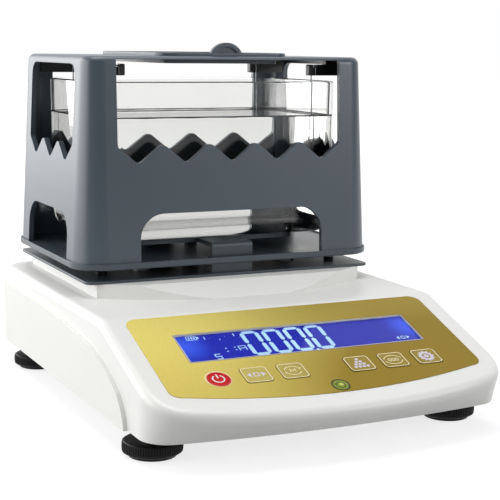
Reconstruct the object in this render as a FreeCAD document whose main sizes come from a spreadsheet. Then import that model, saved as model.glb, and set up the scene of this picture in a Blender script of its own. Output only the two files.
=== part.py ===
"""Electronic gold tester: a bench densimeter with a water tank and a weighing rack.

The frame stands on the bench: +Z is up, the front with its keys looks along -Y,
+X is to the right of someone who stands in front, and the origin is on the bench
under the middle of the housing. All lengths are millimetres, all angles degrees.
"""
import FreeCAD, Part
import os
import re

import Sketcher
from FreeCAD import Placement, Rotation, Vector

SIZES = {
    # Housing: a white cover on a base whose skirt stands proud of it.
    "housing_width": 200.0,
    "housing_rear": 140.0,
    "housing_lift": 14.0,
    "housing_wall": 3.0,
    "floor_thickness": 3.0,
    "skirt_ledge": 2.0,
    "skirt_corner": 19.0,
    "deck_level": 59.6,
    "nose_reach": 126.0,
    "nose_shoulder_reach": 120.5,
    "nose_shoulder_inset": 15.0,
    "nose_angle": 55.9,
    "nose_shoulder_angle": 31.4,
    "edge_round": 4.0,
    "bend_round": 14.0,
    "inner_front": 115.0,
    # Skirt line on both sides: level at the rear, then falling to the front edge.
    "step_rise": 35.4,
    "step_flat_end": 58.5,
    "step_knee_y": 40.0,
    "step_knee_drop": 5.2,
    "step_knee_bow": 1.3,
    "step_hip_y": 80.0,
    "step_hip_drop": 19.4,
    "step_hip_bow": 2.1,
    "step_end_y": 91.0,
    "step_end_bow": 1.7,
    # Pedestal under the plates, with a bowed front cut off by a ramp.
    "pedestal_inset": 19.0,
    "pedestal_height": 7.9,
    "pedestal_front": 2.5,
    "pedestal_bow": 26.5,
    "pedestal_rear": 125.0,
    "ramp_top_y": 9.5,
    "ramp_foot_y": 22.5,
    # Sloped control panel, measured down the slope from the display's upper edge.
    "slope_angle": 19.7,
    "panel_line_y": 68.8,
    "panel_line_level": 52.7,
    "panel_inset": 14.0,
    "panel_upper": 17.5,
    "panel_lower": 52.5,
    "panel_bow": 9.7,
    "panel_round": 6.0,
    "film_thickness": 0.8,
    "film_recess": 0.5,
    "lens_width": 133.0,
    "lens_height": 25.7,
    "lens_thickness": 1.6,
    "lens_round": 0.8,
    "display_border": 3.5,
    "display_depth": 6.0,
    "key_width": 14.0,
    "key_height": 12.5,
    "key_round": 2.0,
    "key_row": 41.0,
    "key_pitch": 19.7,
    "left_keys": 38.3,
    "right_keys": 18.8,
    "key_rise": 0.25,
    "key_flange": 1.2,
    "power_diameter": 10.4,
    "power_ring_diameter": 13.4,
    "power_x": 58.3,
    "key_travel": 0.4,
    "switch_size": 6.0,
    "switch_height": 3.5,
    "board_thickness": 1.6,
    "key_board_width": 136.0,
    "key_board_height": 18.0,
    "vial_diameter": 9.6,
    "vial_depth": 6.0,
    "vial_row": 56.6,
    # Electronics and load cell inside the housing.
    "main_board_width": 130.0,
    "main_board_depth": 44.0,
    "main_board_y": 30.0,
    "standoff_height": 4.0,
    "standoff_diameter": 7.0,
    "standoff_inset": 6.0,
    "cell_length": 80.0,
    "cell_side": 12.7,
    "cell_level": 25.0,
    "cell_grip": 24.0,
    "cell_hole": 5.0,
    "cell_bore": 7.5,
    "cell_bore_gap": 7.0,
    "cell_screw": 4.0,
    "cell_screw_head": 7.0,
    "cell_screw_pitch": 12.0,
    "cell_gap": 0.6,
    "inlet_x": 60.0,
    "inlet_level": 32.0,
    "inlet_barrel": 11.0,
    "inlet_nut": 15.0,
    "inlet_nut_height": 2.5,
    "inlet_bore": 5.6,
    "inlet_pin": 2.1,
    "inlet_length": 15.0,
    "inlet_recess": 3.0,
    "inlet_recess_diameter": 18.0,
    # Levelling feet: knurled wheel, sole and M6 stud in a brass insert.
    "foot_inset": 15.6,
    "foot_front": 88.8,
    "foot_rear": 102.8,
    "foot_diameter": 30.0,
    "foot_height": 8.0,
    "foot_bevel": 2.0,
    "sole_diameter": 24.0,
    "sole_thickness": 1.5,
    "stud_diameter": 6.0,
    "stud_top": 27.0,
    "insert_diameter": 9.0,
    "insert_length": 12.0,
    "boss_diameter": 13.0,
    "boss_height": 10.0,
    # Screws between base and cover.
    "case_screw": 3.0,
    "case_screw_head": 6.0,
    "case_screw_head_height": 1.6,
    "case_screw_length": 14.0,
    "case_boss": 8.0,
    "case_front_inset": 20.0,
    "case_front_y": 60.0,
    "case_rear_inset": 30.0,
    "case_rear_y": 118.0,
    # Plates on the pedestal: a fixed one below, the weighing tray above.
    "scale_middle": 65.0,
    "plate_inset": 2.7,
    "plate_apron": 1.1,
    "plate_thickness": 1.5,
    "plate_corner": 5.0,
    "plate_screw_inset": 9.0,
    "plate_screw_y": 43.0,
    "plate_screw": 3.0,
    "plate_screw_head": 6.0,
    "plate_screw_head_height": 1.8,
    "plate_screw_length": 6.0,
    "tray_margin": 1.5,
    "tray_level": 74.5,
    "tray_thickness": 2.9,
    "tray_rim_height": 0.7,
    "tray_corner": 18.0,
    "tray_edge_round": 1.2,
    "bridge_level": 42.0,
    "bridge_thickness": 4.0,
    "post_x": 45.0,
    "post_y": 35.0,
    "post_diameter": 10.0,
    "post_passage": 14.0,
    "bridge_arm": 16.0,
    "tray_screw": 4.0,
    "tray_screw_head": 7.6,
    "tray_screw_head_height": 3.2,
    "tray_screw_length": 12.0,
    # Tank on its stand, whose legs pass the tray without touching it.
    "stand_width": 100.0,
    "stand_depth": 80.0,
    "stand_level": 83.5,
    "stand_thickness": 2.5,
    "stand_leg_width": 25.0,
    "stand_reach": 61.0,
    "stand_foot": 12.0,
    "slot_margin": 1.5,
    "tank_width": 150.0,
    "tank_depth": 100.0,
    "tank_height": 89.2,
    "tank_corner": 14.0,
    "tank_wall": 3.0,
    "tank_draft": 0.65,
    "tank_foot_round": 10.0,
    "tank_lip_round": 1.0,
    # Rack: one moulding with zigzag windows, arches and a deck.
    "rack_side_gap": 15.0,
    "rack_end_gap": 13.8,
    "rack_height": 111.8,
    "rack_corner": 15.6,
    "rack_wall": 3.0,
    "rack_deck": 1.8,
    "rack_draft": 2.75,
    "rack_top_round": 4.0,
    "window_half": 68.0,
    "side_window_half": 40.5,
    "side_window_top": 107.2,
    "window_round": 7.0,
    "valley_height": 53.6,
    "peak_height": 64.8,
    "tooth_pitch": 28.0,
    "tooth_round": 3.6,
    "arch_half": 55.8,
    "arch_height": 26.6,
    "arch_round": 14.0,
    "side_arch_half": 37.3,
    "side_arch_height": 25.9,
    "deck_opening_width": 72.0,
    "deck_opening_depth": 96.0,
    "deck_opening_corner": 8.0,
    # Hook arms under the deck and the wires that hang on them.
    "hook_y": 40.0,
    "hook_tip": 57.0,
    "hook_root": 80.0,
    "hook_block": 12.0,
    "hook_breadth": 4.0,
    "hook_drop": 9.0,
    "hook_arm_height": 6.4,
    "hook_notch_x": 61.0,
    "hook_notch_width": 2.4,
    "hook_notch_depth": 1.6,
    "hook_screw": 2.5,
    "hook_screw_head": 5.0,
    "hook_screw_head_height": 1.0,
    "hook_screw_length": 6.0,
    "wire_diameter": 0.8,
    "wire_bend": 1.0,
    "wire_tail": 4.0,
    "basket_level": 108.0,
    "basket_height": 5.0,
    "basket_width": 126.0,
    "basket_depth": 79.0,
    "basket_wall": 1.0,
    "basket_corner": 8.0,
    "basket_hole": 8.0,
    "basket_hole_pitch": 14.0,
    # Pan for weighing in air, laid into the deck's opening.
    "pan_overlap": 4.0,
    "pan_lip": 2.0,
    "pan_corner": 10.0,
    "pan_bowl_depth": 4.0,
    "pan_wall": 1.5,
    "pan_round": 0.8,
    "tab_radius": 10.6,
    "tab_top": 7.6,
    "tab_thickness": 3.0,
    "tab_rim": 2.4,
    "tab_recess": 1.0,
    # Fits shared by all pieces.
    "clearance": 0.3,
    "running_fit": 0.1,
    "close_fit": 0.05,
    "overrun": 1.0,
}

HOLE_COLUMNS = 8
HOLE_ROWS = 5
WINDOW_TEETH = 4
SIDE_WINDOW_TEETH = 2

# Heights and depths that several pieces share, written with the names above.
FLOOR_TOP = "(housing_lift + floor_thickness)"
STEP_LEVEL = "(housing_lift + step_rise)"
COVER_HALF = "(housing_width / 2 - skirt_ledge)"
COVER_REAR = "(housing_rear - skirt_ledge)"
INNER_HALF = "(housing_width / 2 - skirt_ledge - housing_wall)"
INNER_REAR = "(housing_rear - skirt_ledge - housing_wall)"
SLOPE = "tan(slope_angle * 1deg)"
BEND_Y = f"((deck_level - panel_line_level) / {SLOPE} - panel_line_y)"
PEDESTAL_TOP = "(deck_level + pedestal_height)"
PLATE_TOP = f"({PEDESTAL_TOP} + plate_thickness)"
TRAY_TOP = "(tray_level + tray_thickness)"
STAND_TOP = "(stand_level + stand_thickness)"
DECK_UNDERSIDE = "(rack_height - rack_deck)"
DECK_TOP = f"({TRAY_TOP} + rack_height)"
PEDESTAL_HALF = "(housing_width / 2 - pedestal_inset)"
FOOT_X = "(housing_width / 2 - foot_inset)"
CASE_FRONT_X = "(housing_width / 2 - case_front_inset)"
CASE_REAR_X = "(housing_width / 2 - case_rear_inset)"
PLATE_SCREW_X = f"({PEDESTAL_HALF} - plate_screw_inset)"
RACK_WIDTH = "(tank_width + 2 * rack_side_gap)"
RACK_DEPTH = "(tank_depth + 2 * rack_end_gap)"
PAN_FRONT = "(deck_opening_depth / 2 + pan_overlap)"
FOUR_SIGNS = [("(0 - 1)", "(0 - 1)"), ("(0 - 1)", "1"), ("1", "(0 - 1)"), ("1", "1")]
FILM_TOP = "(film_thickness - film_recess)"
KEY_FOOT = "(housing_wall + clearance + key_flange)"

doc = FreeCAD.newDocument("gold_tester")
sheet = doc.addObject("Spreadsheet::Sheet", "sizes")
parts = []


def fill_sheet():
    """Write every driving dimension into its own named cell."""
    for row, (name, value) in enumerate(SIZES.items(), start=1):
        sheet.set(f"A{row}", name)
        sheet.set(f"B{row}", str(value))
        sheet.setAlias(f"B{row}", name)
    doc.recompute()


def formula(text):
    """Turn the plain names of sizes into references to their cells."""
    def cell(match):
        word = match.group()
        return f"sizes.{word}" if word in SIZES else word
    return re.sub(r"[a-z_]+", cell, str(text))


def number(text):
    """Give the present value of a formula."""
    return float(sheet.evalExpression(formula(text).replace("sizes.", "")))


def bind(thing, name, text):
    """Bind one property to a formula of sizes."""
    thing.setExpression(name, formula(text))


def place(piece, x_at="0", y_at="0", z_at="0", turn="0", axis=(0, 0, 1)):
    """Put a sub-part at its place in the frame, turned about one axis."""
    start = Vector(number(x_at), number(y_at), number(z_at))
    piece.Placement = Placement(start, Rotation(Vector(*axis), number(turn) or 1.0))
    for name, text in (("x", x_at), ("y", y_at), ("z", z_at)):
        bind(piece, f"Placement.Base.{name}", text)
    bind(piece, "Placement.Rotation.Angle", f"({turn}) * 1deg")


def new_body(name):
    """Start a sub-part made of sketches and features."""
    body = doc.addObject("PartDesign::Body", name)
    body.Label = name
    parts.append(body)
    return body


def place_on_slope(piece):
    """Seat a sub-part on the slope: its +Y points up the slope, its +Z out of it."""
    place(piece, y_at="0 - panel_line_y", z_at="panel_line_level", turn="slope_angle", axis=(1, 0, 0))


def new_sketch(body, name, plane, level):
    """Lay an empty sketch on one of the body's own planes, lifted off it."""
    base = next(item for item in body.Origin.OriginFeatures if item.Role == plane)
    sketch = body.newObject("Sketcher::SketchObject", name)
    sketch.AttachmentSupport = [(base, "")]
    sketch.MapMode = "FlatFace"
    bind(sketch, "AttachmentOffset.Base.z", level)
    return sketch


def hold(sketch, kind, where, text):
    """Add one dimension to a sketch and bind it to a formula."""
    index = sketch.addConstraint(Sketcher.Constraint(kind, *where, number(text)))
    sketch.setExpression(f"Constraints[{index}]", formula(text))


def rise(start, end, radius, side):
    """Find the point halfway along an arc that bulges to one side of its chord."""
    chord = end - start
    height = radius - (radius ** 2 - (chord.Length / 2) ** 2) ** 0.5
    outward = Vector(chord.y, -chord.x, 0).normalize()
    return (start + end) / 2 + outward * height * side


def draw(sketch, corners, arcs=None, hollows=None):
    """Draw a closed outline, anticlockwise, through corners given as formulas.

    arcs and hollows give the radius of each edge that bulges outward or inward,
    by the number of the corner where it starts.
    """
    arcs = arcs or {}
    hollows = hollows or {}
    points = [Vector(number(x), number(y), 0) for x, y in corners]
    joints = []
    for step, start in enumerate(points):
        end = points[(step + 1) % len(points)]
        radius = arcs.get(step) or hollows.get(step)
        if radius:
            middle = rise(start, end, number(radius), 1 if step in arcs else -1)
            index = sketch.addGeometry(Part.Arc(start, middle, end), False)
        else:
            index = sketch.addGeometry(Part.LineSegment(start, end), False)
        forward = (sketch.getPoint(index, 1) - start).Length < (sketch.getPoint(index, 2) - start).Length
        joints.append((index, 1 if forward else 2, radius))
    for step, (index, begin, radius) in enumerate(joints):
        last, last_begin, _ = joints[step - 1]
        sketch.addConstraint(Sketcher.Constraint("Coincident", last, 3 - last_begin, index, begin))
        hold(sketch, "DistanceX", (-1, 1, index, begin), corners[step][0])
        hold(sketch, "DistanceY", (-1, 1, index, begin), corners[step][1])
        if radius:
            hold(sketch, "Radius", (index,), radius)


def circle(sketch, x_at, y_at, radius):
    """Draw a circle whose centre and radius follow formulas."""
    centre = Vector(number(x_at), number(y_at), 0)
    index = sketch.addGeometry(Part.Circle(centre, Vector(0, 0, 1), number(radius)), False)
    hold(sketch, "DistanceX", (-1, 1, index, 3), x_at)
    hold(sketch, "DistanceY", (-1, 1, index, 3), y_at)
    hold(sketch, "Radius", (index,), radius)


def box(sketch, left, right, low, high):
    """Draw a plain rectangle between four formulas."""
    draw(sketch, [(left, low), (right, low), (right, high), (left, high)])


def round_box(sketch, half_x, half_y, corner, x_at="0", y_at="0"):
    """Draw a rectangle with round corners about a middle point."""
    left, right = f"{x_at} - {half_x}", f"{x_at} + {half_x}"
    low, high = f"{y_at} - {half_y}", f"{y_at} + {half_y}"
    corners = [
        (f"{left} + {corner}", low),
        (f"{right} - {corner}", low),
        (right, f"{low} + {corner}"),
        (right, f"{high} - {corner}"),
        (f"{right} - {corner}", high),
        (f"{left} + {corner}", high),
        (left, f"{high} - {corner}"),
        (left, f"{low} + {corner}"),
    ]
    draw(sketch, corners, arcs={step: corner for step in (1, 3, 5, 7)})


def pad(body, sketch, length, middle=False, down=False, taper="0"):
    """Raise a solid from a sketch, its walls leaning out by a taper angle."""
    feature = body.newObject("PartDesign::Pad", f"{sketch.Name}_pad")
    feature.Profile = sketch
    feature.Midplane = middle
    feature.Reversed = down
    bind(feature, "Length", length)
    bind(feature, "TaperAngle", taper)
    sketch.Visibility = False
    doc.recompute()
    return feature


def pocket(body, sketch, length, middle=False, up=False, taper="0"):
    """Cut a solid along a sketch: down from it, up from it, or to both sides."""
    before = body.Shape.Volume
    feature = body.newObject("PartDesign::Pocket", f"{sketch.Name}_cut")
    feature.Profile = sketch
    feature.Midplane = middle
    feature.Reversed = up
    bind(feature, "Length", length)
    bind(feature, "TaperAngle", taper)
    sketch.Visibility = False
    doc.recompute()
    if not body.Shape.Volume < before:
        raise ValueError(f"{body.Label}: {sketch.Name} cuts nothing")
    return feature


def loft(body, kind, lower, upper):
    """Join two sketches by a ruled skin, added to the body or taken from it."""
    feature = body.newObject(f"PartDesign::{kind}", f"{lower.Name}_loft")
    feature.Profile = lower
    feature.Sections = [upper]
    feature.Ruled = True
    doc.recompute()
    return feature


def revolve(body, sketch, axis="V_Axis"):
    """Turn a profile all the way round one axis of its sketch."""
    feature = body.newObject("PartDesign::Revolution", f"{sketch.Name}_turn")
    feature.Profile = sketch
    feature.ReferenceAxis = (sketch, [axis])
    feature.Angle = 360.0
    doc.recompute()
    return feature


def soften(body, radius, chosen, kind="PartDesign::Fillet"):
    """Round the edges that a test picks out of the body's present shape."""
    base = body.Tip
    names = [f"Edge{step}" for step, edge in enumerate(base.Shape.Edges, start=1) if chosen(edge)]
    feature = body.newObject(kind, f"{body.Label}_round_{len(body.Group)}")
    feature.Base = (base, names)
    feature.UseAllEdges = False
    bind(feature, "Radius", radius)
    doc.recompute()
    return feature


def along(edge, direction):
    """Tell whether a straight edge runs along a direction."""
    if edge.Curve.TypeId != "Part::GeomLine":
        return False
    return abs(edge.tangentAt(edge.FirstParameter).dot(Vector(*direction))) > 0.999


def near(value, text, slack="clearance / 10"):
    """Tell whether a measured value lies at a formula's value."""
    return abs(value - number(text)) < number(slack)


def at_height(edge, text):
    """Tell whether an edge lies level at a height of its own body."""
    return near(edge.BoundBox.ZMin, text) and near(edge.BoundBox.ZMax, text)


def bow_radius(half_chord, bow):
    """Write the radius of an arc from half its chord and its bow."""
    return f"(({half_chord}) ^ 2 + ({bow}) ^ 2) / (2 * ({bow}))"


def run_radius(x_run, y_run, bow):
    """Write the radius of an arc over a slanting chord."""
    return f"((({x_run}) ^ 2 + ({y_run}) ^ 2) / 4 + ({bow}) ^ 2) / (2 * ({bow}))"


def step_line():
    """Give the skirt's side line from the rear to its low front end, with its arcs."""
    corners = [
        ("housing_rear + overrun", STEP_LEVEL),
        ("step_flat_end", STEP_LEVEL),
        ("0 - step_knee_y", f"{STEP_LEVEL} - step_knee_drop"),
        ("0 - step_hip_y", f"{STEP_LEVEL} - step_hip_drop"),
        ("0 - step_end_y", "housing_lift"),
    ]
    arcs = {
        1: run_radius("step_flat_end + step_knee_y", "step_knee_drop", "step_knee_bow"),
        2: run_radius("step_hip_y - step_knee_y", "step_hip_drop - step_knee_drop", "step_hip_bow"),
        3: run_radius("step_end_y - step_hip_y", "step_rise - step_hip_drop", "step_end_bow"),
    }
    return corners, arcs


def nose_outline(body, name, level, reach, shoulder):
    """Draw the cover's plan: a bowed front, soft shoulders and round rear corners."""
    sketch = new_sketch(body, name, "XY_Plane", level)
    half = "(housing_width / 2 - nose_shoulder_inset)"
    bow = f"({reach} - ({shoulder}))"
    front = bow_radius(half, bow)
    lean = f"({half} / ({front}))"
    turn = f"(({COVER_HALF} - {half}) / (1 - {lean}))"
    run = f"({turn} * sqrt(1 - {lean} ^ 2))"
    corner = "(skirt_corner - skirt_ledge)"
    corners = [
        (f"0 - {half}", f"0 - ({shoulder})"),
        (half, f"0 - ({shoulder})"),
        (COVER_HALF, f"{run} - ({shoulder})"),
        (COVER_HALF, f"{COVER_REAR} - {corner}"),
        (f"{COVER_HALF} - {corner}", COVER_REAR),
        (f"{corner} - {COVER_HALF}", COVER_REAR),
        (f"0 - {COVER_HALF}", f"{COVER_REAR} - {corner}"),
        (f"0 - {COVER_HALF}", f"{run} - ({shoulder})"),
    ]
    draw(sketch, corners, arcs={0: front, 1: turn, 3: corner, 5: corner, 7: turn})
    return sketch


def inner_outline(sketch, front, half, corner):
    """Draw the hollow's plan, square at the front and round at the rear."""
    corners = [
        (f"0 - {half}", front),
        (half, front),
        (half, f"{INNER_REAR} - {corner}"),
        (f"{half} - {corner}", INNER_REAR),
        (f"{corner} - {half}", INNER_REAR),
        (f"0 - {half}", f"{INNER_REAR} - {corner}"),
    ]
    draw(sketch, corners, arcs={2: corner, 4: corner})


def panel_outline(sketch, margin):
    """Draw the gold panel's outline on the slope, its lower edge bowed."""
    half = f"(housing_width / 2 - panel_inset + {margin})"
    low = f"(panel_lower + {margin})"
    high = f"(panel_upper + {margin})"
    bow_half = f"({half} - panel_round)"
    front = bow_radius(bow_half, "panel_bow")
    corners = [
        (f"0 - {bow_half}", f"0 - {low}"),
        (bow_half, f"0 - {low}"),
        (half, f"panel_round - {low}"),
        (half, f"{high} - panel_round"),
        (f"{half} - panel_round", high),
        (f"panel_round - {half}", high),
        (f"0 - {half}", f"{high} - panel_round"),
        (f"0 - {half}", f"panel_round - {low}"),
    ]
    turns = {step: "panel_round" for step in (1, 3, 5, 7)}
    draw(sketch, corners, arcs={0: front, **turns})


def key_places():
    """Name the five square keys and their places along the row."""
    return {
        "key_one": "0 - left_keys",
        "key_two": "key_pitch - left_keys",
        "key_three": "right_keys",
        "key_four": "right_keys + key_pitch",
        "key_five": "right_keys + 2 * key_pitch",
    }


def key_row_outline(sketch, margin, power_radius):
    """Draw the openings of all keys, wider than the caps by a margin."""
    for x_at in key_places().values():
        round_box(sketch, f"(key_width / 2 + {margin})", f"(key_height / 2 + {margin})", "key_round",
                  f"({x_at})", "(0 - key_row)")
    circle(sketch, "0 - power_x", "0 - key_row", power_radius)


def lens_outline(sketch, margin):
    """Draw the display window below its upper edge."""
    round_box(sketch, f"(lens_width / 2 + {margin})", f"(lens_height / 2 + {margin})", "lens_round",
              "0", "(0 - lens_height / 2)")


def foot_places():
    """Name the four feet and the signs of their corners."""
    return {
        "front_left": (f"0 - {FOOT_X}", "0 - foot_front"),
        "front_right": (FOOT_X, "0 - foot_front"),
        "rear_left": (f"0 - {FOOT_X}", "foot_rear"),
        "rear_right": (FOOT_X, "foot_rear"),
    }


def case_screw_places():
    """Give the places of the four screws that join base and cover."""
    return [
        (f"0 - {CASE_FRONT_X}", "0 - case_front_y"),
        (CASE_FRONT_X, "0 - case_front_y"),
        (f"0 - {CASE_REAR_X}", "case_rear_y"),
        (CASE_REAR_X, "case_rear_y"),
    ]


def circles(body, name, plane, level, places, radius):
    """Lay one sketch with the same circle at several places."""
    sketch = new_sketch(body, name, plane, level)
    for x_at, y_at in places:
        circle(sketch, x_at, y_at, radius)
    return sketch


def make_lower_housing():
    """Base tray whose skirt wraps the sides and rear, lower towards the front."""
    body = new_body("lower_housing")
    plan = new_sketch(body, "skirt_plan", "XY_Plane", "housing_lift")
    half = "housing_width / 2"
    corner = "skirt_corner"
    draw(plan, [
        (f"0 - {half}", "0 - step_end_y"),
        (half, "0 - step_end_y"),
        (half, f"housing_rear - {corner}"),
        (f"{half} - {corner}", "housing_rear"),
        (f"{corner} - {half}", "housing_rear"),
        (f"0 - {half}", f"housing_rear - {corner}"),
    ], arcs={2: corner, 4: corner})
    pad(body, plan, "step_rise")
    above = new_sketch(body, "above_step", "YZ_Plane", "0")
    corners, arcs = step_line()
    lid = f"{STEP_LEVEL} + overrun"
    front = ("0 - step_end_y - overrun", "housing_lift")
    outline = [("step_flat_end", lid), ("0 - step_end_y - overrun", lid), front]
    line = [corners[4], corners[3], corners[2], corners[1]]
    hollow = {3: arcs[3], 4: arcs[2], 5: arcs[1]}
    draw(above, outline + line, hollows=hollow)
    pocket(body, above, "housing_width + 2 * overrun", middle=True)
    tongue = new_sketch(body, "tongue", "XY_Plane", "housing_lift")
    tongue_half = f"({INNER_HALF} - housing_wall)"
    box(tongue, f"0 - {tongue_half}", tongue_half, "overrun + clearance - inner_front", "0 - step_hip_y")
    pad(body, tongue, "floor_thickness")
    hollow_plan = new_sketch(body, "base_hollow", "XY_Plane", FLOOR_TOP)
    inner_outline(hollow_plan, "0 - step_end_y - overrun", INNER_HALF, "(skirt_corner - skirt_ledge - housing_wall)")
    pocket(body, hollow_plan, "step_rise", up=True)
    feet = foot_places().values()
    pad(body, circles(body, "foot_bosses", "XY_Plane", "housing_lift", feet, "boss_diameter / 2"),
        "floor_thickness + boss_height")
    pocket(body, circles(body, "insert_holes", "XY_Plane", "housing_lift", feet,
                         "insert_diameter / 2 + close_fit"),
           "floor_thickness + boss_height + overrun", up=True)
    screws = case_screw_places()
    pocket(body, circles(body, "case_holes", "XY_Plane", "housing_lift", screws, "case_screw / 2 + running_fit"),
           "floor_thickness + overrun", up=True)
    pocket(body, circles(body, "case_heads", "XY_Plane", "housing_lift", screws,
                         "case_screw_head / 2 + clearance"),
           "case_screw_head_height", up=True)
    board = board_corners()
    pad(body, circles(body, "standoffs", "XY_Plane", FLOOR_TOP, board, "standoff_diameter / 2"), "standoff_height")
    recess = circles(body, "inlet_recess", "XZ_Plane", "0 - housing_rear",
                     [("inlet_x", "inlet_level")], "inlet_recess_diameter / 2")
    pocket(body, recess, "inlet_recess", up=True)
    bore = circles(body, "inlet_hole", "XZ_Plane", "0 - housing_rear",
                   [("inlet_x", "inlet_level")], "inlet_barrel / 2 + close_fit")
    pocket(body, bore, "skirt_ledge + housing_wall + overrun", up=True)
    return body


def board_corners():
    """Give the places of the four standoffs under the main board."""
    half = "(main_board_width / 2 - standoff_inset)"
    front = "(0 - main_board_y - main_board_depth / 2 + standoff_inset)"
    rear = "(0 - main_board_y + main_board_depth / 2 - standoff_inset)"
    return [(f"0 - {half}", front), (half, front), (f"0 - {half}", rear), (half, rear)]


def make_upper_housing():
    """Cover with an undercut nose, a sloped panel and the pedestal of the plates."""
    body = new_body("upper_housing")
    climb = "(deck_level - housing_lift)"
    low = nose_outline(body, "nose_low", "housing_lift", "nose_reach", "nose_shoulder_reach")
    high = nose_outline(body, "nose_high", "deck_level",
                        f"(nose_reach + {climb} * tan(nose_angle * 1deg))",
                        f"(nose_shoulder_reach + {climb} * tan(nose_shoulder_angle * 1deg))")
    loft(body, "AdditiveLoft", low, high)
    far = f"(nose_reach + {climb} * tan(nose_angle * 1deg) + overrun)"
    lid = "deck_level + overrun"
    over = new_sketch(body, "over_slope", "YZ_Plane", "0")
    draw(over, [
        (BEND_Y, "deck_level"),
        (BEND_Y, lid),
        (f"0 - {far}", lid),
        (f"0 - {far}", f"deck_level - ({far} + {BEND_Y}) * {SLOPE}"),
    ])
    pocket(body, over, "housing_width + 2 * overrun", middle=True)
    soften(body, "bend_round", lambda edge: along(edge, (1, 0, 0)) and at_height(edge, "deck_level")
           and near(edge.BoundBox.YMin, BEND_Y))
    soften(body, "edge_round", is_cover_rim)
    under = new_sketch(body, "under_step", "YZ_Plane", "0")
    corners, arcs = step_line()
    foot = "housing_lift - overrun"
    outline = corners + [("0 - step_end_y", foot), ("housing_rear + overrun", foot)]
    draw(under, outline, arcs=arcs)
    pocket(body, under, "housing_width + 2 * overrun", middle=True)
    add_pedestal(body)
    hollow_cover(body)
    open_slope(body)
    for name, place_at, top in (
            ("front_bosses", case_screw_places()[:2],
             f"(panel_line_level - (case_front_y - panel_line_y + case_boss / 2) * {SLOPE})"),
            ("rear_bosses", case_screw_places()[2:], PEDESTAL_TOP)):
        boss = circles(body, name, "XY_Plane", f"{FLOOR_TOP} + clearance", place_at, "case_boss / 2")
        pad(body, boss, f"{top} - housing_wall / 2 - {FLOOR_TOP} - clearance")
    pocket(body, circles(body, "boss_bores", "XY_Plane", f"{FLOOR_TOP} + clearance", case_screw_places(),
                         "case_screw / 2 + close_fit"), "case_screw_length", up=True)
    return body


def is_cover_rim(edge):
    """Pick the edges where the cover's top and slope meet its walls."""
    limits = edge.BoundBox
    if limits.ZMin < number("housing_lift + edge_round"):
        return False
    if along(edge, (0, 0, 1)):
        return False
    inside = abs(limits.XMin) < number(f"{COVER_HALF} - clearance") and limits.XLength < number("clearance")
    across = along(edge, (1, 0, 0)) and limits.YMax < number(COVER_REAR + " - clearance")
    return not (inside or across)


def add_pedestal(body):
    """Raise the pedestal and cut its bowed front with the ramp."""
    plan = new_sketch(body, "pedestal_plan", "XY_Plane", "deck_level")
    half = PEDESTAL_HALF
    draw(plan, [
        (f"0 - {half}", "pedestal_front"),
        (half, "pedestal_front"),
        (half, "pedestal_rear"),
        (f"0 - {half}", "pedestal_rear"),
    ], arcs={0: bow_radius(half, "pedestal_bow")})
    pad(body, plan, "pedestal_height")
    ramp = new_sketch(body, "ramp", "YZ_Plane", "0")
    reach = "(pedestal_bow + overrun)"
    draw(ramp, [
        ("0 - ramp_foot_y", "deck_level"),
        ("0 - ramp_top_y", PEDESTAL_TOP),
        ("0 - ramp_top_y", f"{PEDESTAL_TOP} + overrun"),
        (f"0 - {reach}", f"{PEDESTAL_TOP} + overrun"),
        (f"0 - {reach}", "deck_level"),
    ])
    pocket(body, ramp, f"2 * {PEDESTAL_HALF}", middle=True)


def hollow_cover(body):
    """Hollow the cover from below, under the deck, the pedestal and the slope."""
    rear_room = new_sketch(body, "rear_room", "XY_Plane", "housing_lift - overrun")
    inner_outline(rear_room, BEND_Y, INNER_HALF, "(skirt_corner - skirt_ledge - housing_wall)")
    pocket(body, rear_room, "deck_level - housing_wall - housing_lift + overrun", up=True)
    scale_room = new_sketch(body, "scale_room", "XY_Plane", "housing_lift - overrun")
    box(scale_room, f"housing_wall - {PEDESTAL_HALF}", f"{PEDESTAL_HALF} - housing_wall",
        "pedestal_front + housing_wall", "pedestal_rear - housing_wall")
    pocket(body, scale_room, f"{PEDESTAL_TOP} - housing_wall - housing_lift + overrun", up=True)
    front_room = new_sketch(body, "front_room", "YZ_Plane", "0")
    drop = "housing_wall / cos(slope_angle * 1deg)"
    start = f"({BEND_Y} + overrun)"
    draw(front_room, [
        ("0 - inner_front", "housing_lift - overrun"),
        (start, "housing_lift - overrun"),
        (start, "deck_level - housing_wall"),
        (f"{BEND_Y} - overrun", f"deck_level - {drop} - overrun * {SLOPE}"),
        ("0 - inner_front", f"panel_line_level - (inner_front - panel_line_y) * {SLOPE} - {drop}"),
    ])
    pocket(body, front_room, f"2 * ({INNER_HALF} - skirt_ledge)", middle=True)
    pocket(body, circles(body, "post_holes", "XY_Plane", PEDESTAL_TOP, post_places(), "post_passage / 2"),
           "housing_wall + overrun")


def slope_sketch(body, name, level):
    """Lay a sketch on the slope itself, in the panel's own directions."""
    sketch = new_sketch(body, name, "XY_Plane", level)
    sketch.AttachmentOffset = Placement(Vector(), Rotation(Vector(1, 0, 0), 1.0))
    bind(sketch, "AttachmentOffset.Base.x", "0 * overrun")
    bind(sketch, "AttachmentOffset.Base.y", f"0 - panel_line_y - ({level}) * sin(slope_angle * 1deg)")
    bind(sketch, "AttachmentOffset.Base.z", f"panel_line_level + ({level}) * cos(slope_angle * 1deg)")
    bind(sketch, "AttachmentOffset.Rotation.Angle", "slope_angle * 1deg")
    return sketch


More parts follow.
